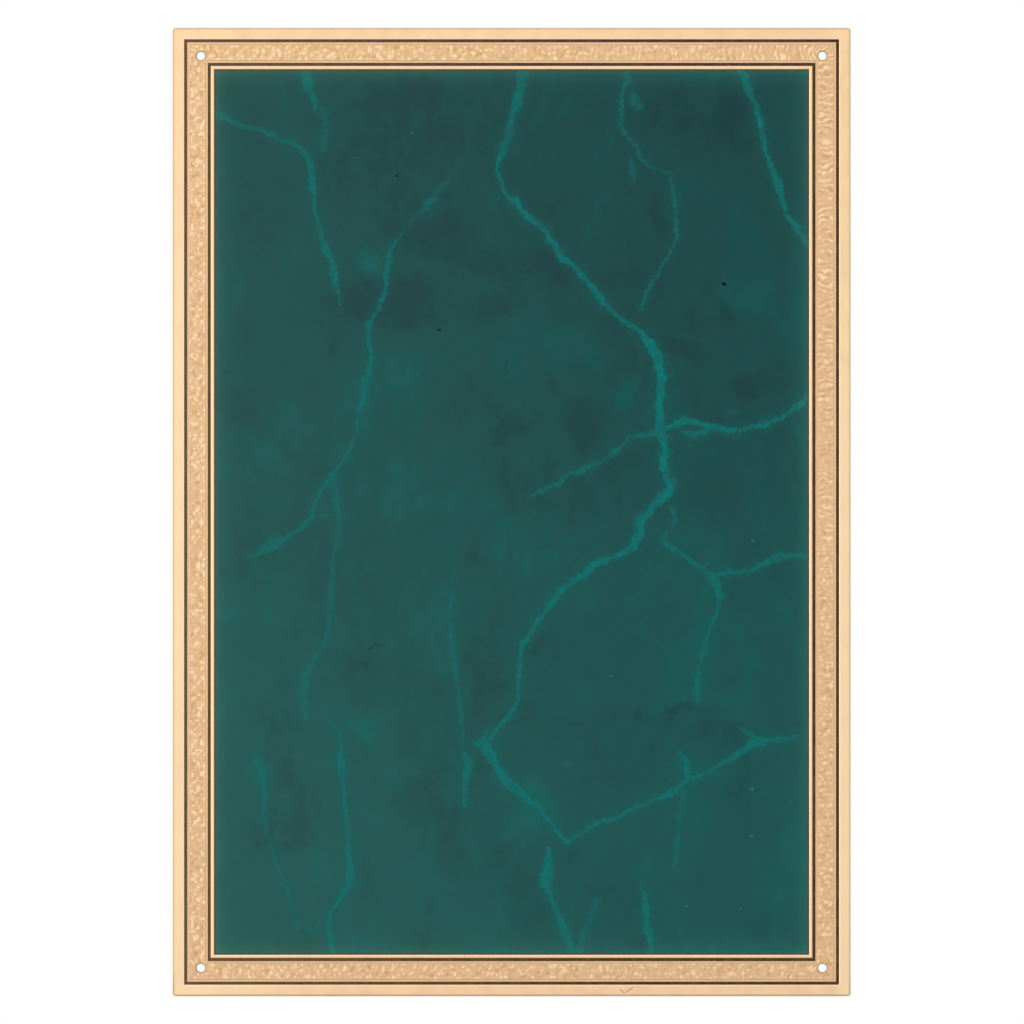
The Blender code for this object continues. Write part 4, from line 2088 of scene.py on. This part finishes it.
@dataclass
class Studio:
    """Soft light all round, a pale floor below and the camera face on.

    Angles are measured from the plate's own axis, in degrees.

    Attributes:
        outline: The plate's outline.
        lens: Focal length, in millimetres.
        sensor: Width of the camera's sensor, in millimetres.
        view_width: What the picture shows at the plate's face, in metres.
        plate_shift: How far the plate stands left of the picture's centre, in metres.
        floor_drop: How far the floor lies below the plate's centre, in metres.
        floor_radius: The floor's radius, in metres.
        side_level: How bright the light is from the sides.
        rings: Outer angle, inner angle and brightness of each brighter ring.
        hollow: Outer and inner angle of the dark hollow in front, where the gloss looks back.
        hollow_level: How bright the hollow is.
        tilt: How much brighter the light is towards +X and towards +Z.
        key_size: Width of the key light, in metres.
        key_power: Its power, in watts.
        key_place: Where it hangs, in metres.
    """

    outline: Outline
    lens: float = 200.0
    sensor: float = 36.0
    view_width: float = 0.26856
    plate_shift: float = 0.00010
    floor_drop: float = 0.42
    floor_radius: float = 0.9
    side_level: float = 0.6
    rings: tuple[tuple[float, float, float], ...] = ((55, 42, 1.35), (24, 16, 1.0))
    hollow: Span = (8.5, 6.2)
    hollow_level: float = 0.03
    tilt: Span = (-0.30, 0.12)
    key_size: float = 0.35
    key_power: float = 1.1
    key_place: tuple[float, float, float] = (-0.95, -1.35, 0.0)

    def camera(self) -> None:
        """Set the camera square to the plate's face."""
        data = bpy.data.cameras.new("face_on")
        data.lens = self.lens
        data.sensor_width = self.sensor
        data.clip_start = 0.01
        data.clip_end = 20.0
        camera = bpy.data.objects.new("face_on", data)
        away = self.view_width * self.lens / self.sensor
        camera.location = (self.plate_shift, self.outline.front - away, 0.0)
        camera.rotation_euler = (math.radians(90), 0, 0)
        bpy.context.scene.collection.objects.link(camera)
        bpy.context.scene.camera = camera

    def brightness(self, board: Board) -> Socket:
        """How bright the light is from each direction.

        Args:
            board: The world's board.

        Returns:
            The light's strength.
        """
        split = board.add("SeparateXYZ")
        board.feed(split.inputs[0], board.add("TexCoord").outputs["Generated"])
        parts = split.outputs
        angle = board.math("ARCCOSINE", board.math("ABSOLUTE", parts["Y"]))
        level: object = self.side_level
        for outer, inner, strength in self.rings:
            level = board.remap(angle, math.radians(outer), math.radians(inner), level, strength)
        front = board.math("LESS_THAN", parts["Y"], 0.0)
        hollow = board.remap(angle, *(math.radians(edge) for edge in self.hollow))
        hollow = board.math("MULTIPLY", front, hollow)
        level = board.remap(hollow, 0.0, 1.0, level, self.hollow_level)
        side = board.math("MULTIPLY_ADD", parts["X"], self.tilt[0], 1.0)
        side = board.math("MULTIPLY_ADD", parts["Z"], self.tilt[1], side)
        return board.math("MULTIPLY", level, side)

    def surround(self) -> None:
        """Light the plate from all round, and show the camera plain white."""
        world = bpy.data.worlds.new("studio")
        world.use_nodes = True
        world.node_tree.nodes.clear()
        board = Board(world.node_tree)
        light = board.add("Background")
        light.inputs["Color"].default_value = (1.0, 0.992, 0.98, 1.0)
        board.feed(light.inputs["Strength"], self.brightness(board))
        paper = board.add("Background")
        paper.inputs["Color"].default_value = (1.0, 1.0, 1.0, 1.0)
        blend = board.add("MixShader")
        board.feed(blend.inputs[0], board.add("LightPath").outputs["Is Camera Ray"])
        board.feed(blend.inputs[1], light.outputs[0])
        board.feed(blend.inputs[2], paper.outputs[0])
        result = board.add("OutputWorld")
        board.feed(result.inputs["Surface"], blend.outputs[0])
        bpy.context.scene.world = world

    def key(self) -> None:
        """Add the soft key light, on the left."""
        data = bpy.data.lights.new("key", "AREA")
        data.shape = "DISK"
        data.size = self.key_size
        data.energy = self.key_power
        light = bpy.data.objects.new("key", data)
        light.location = self.key_place
        light.rotation_mode = "QUATERNION"
        light.rotation_quaternion = light.location.to_track_quat("Z", "Y")
        bpy.context.scene.collection.objects.link(light)

    def floor(self) -> None:
        """Lay the pale floor below the plate."""
        shape = bmesh.new()
        bmesh.ops.create_circle(
            shape, cap_ends=True, radius=self.floor_radius, segments=96,
            matrix=Matrix.Translation((0, 0, -self.floor_drop)),
        )
        material, board, shader = new_material("pale_floor")
        soft = board.remap(board.noise(board.object_place(), 6.0), *NOISE_SPAN)
        shade = board.mix(soft, (0.80, 0.80, 0.79), (0.84, 0.84, 0.83))
        board.feed(shader.inputs["Base Color"], shade)
        shader.inputs["Roughness"].default_value = 0.8
        make_piece("studio_floor", shape, [material])

    def build(self) -> None:
        """Set the whole studio."""
        self.camera()
        self.surround()
        self.key()
        self.floor()
        bpy.context.scene.view_settings.view_transform = "Standard"


def main() -> None:
    """Build the plate's pieces, dress them and set the studio."""
    logging.basicConfig(level=logging.INFO, format="%(message)s")
    outline = Outline.from_frame()
    for piece in PlaquePlate(outline).build():
        LOG.info("%s: %d faces", piece.name, len(piece.data.polygons))
    Studio(outline).build()


if __name__ == "__main__":
    main()
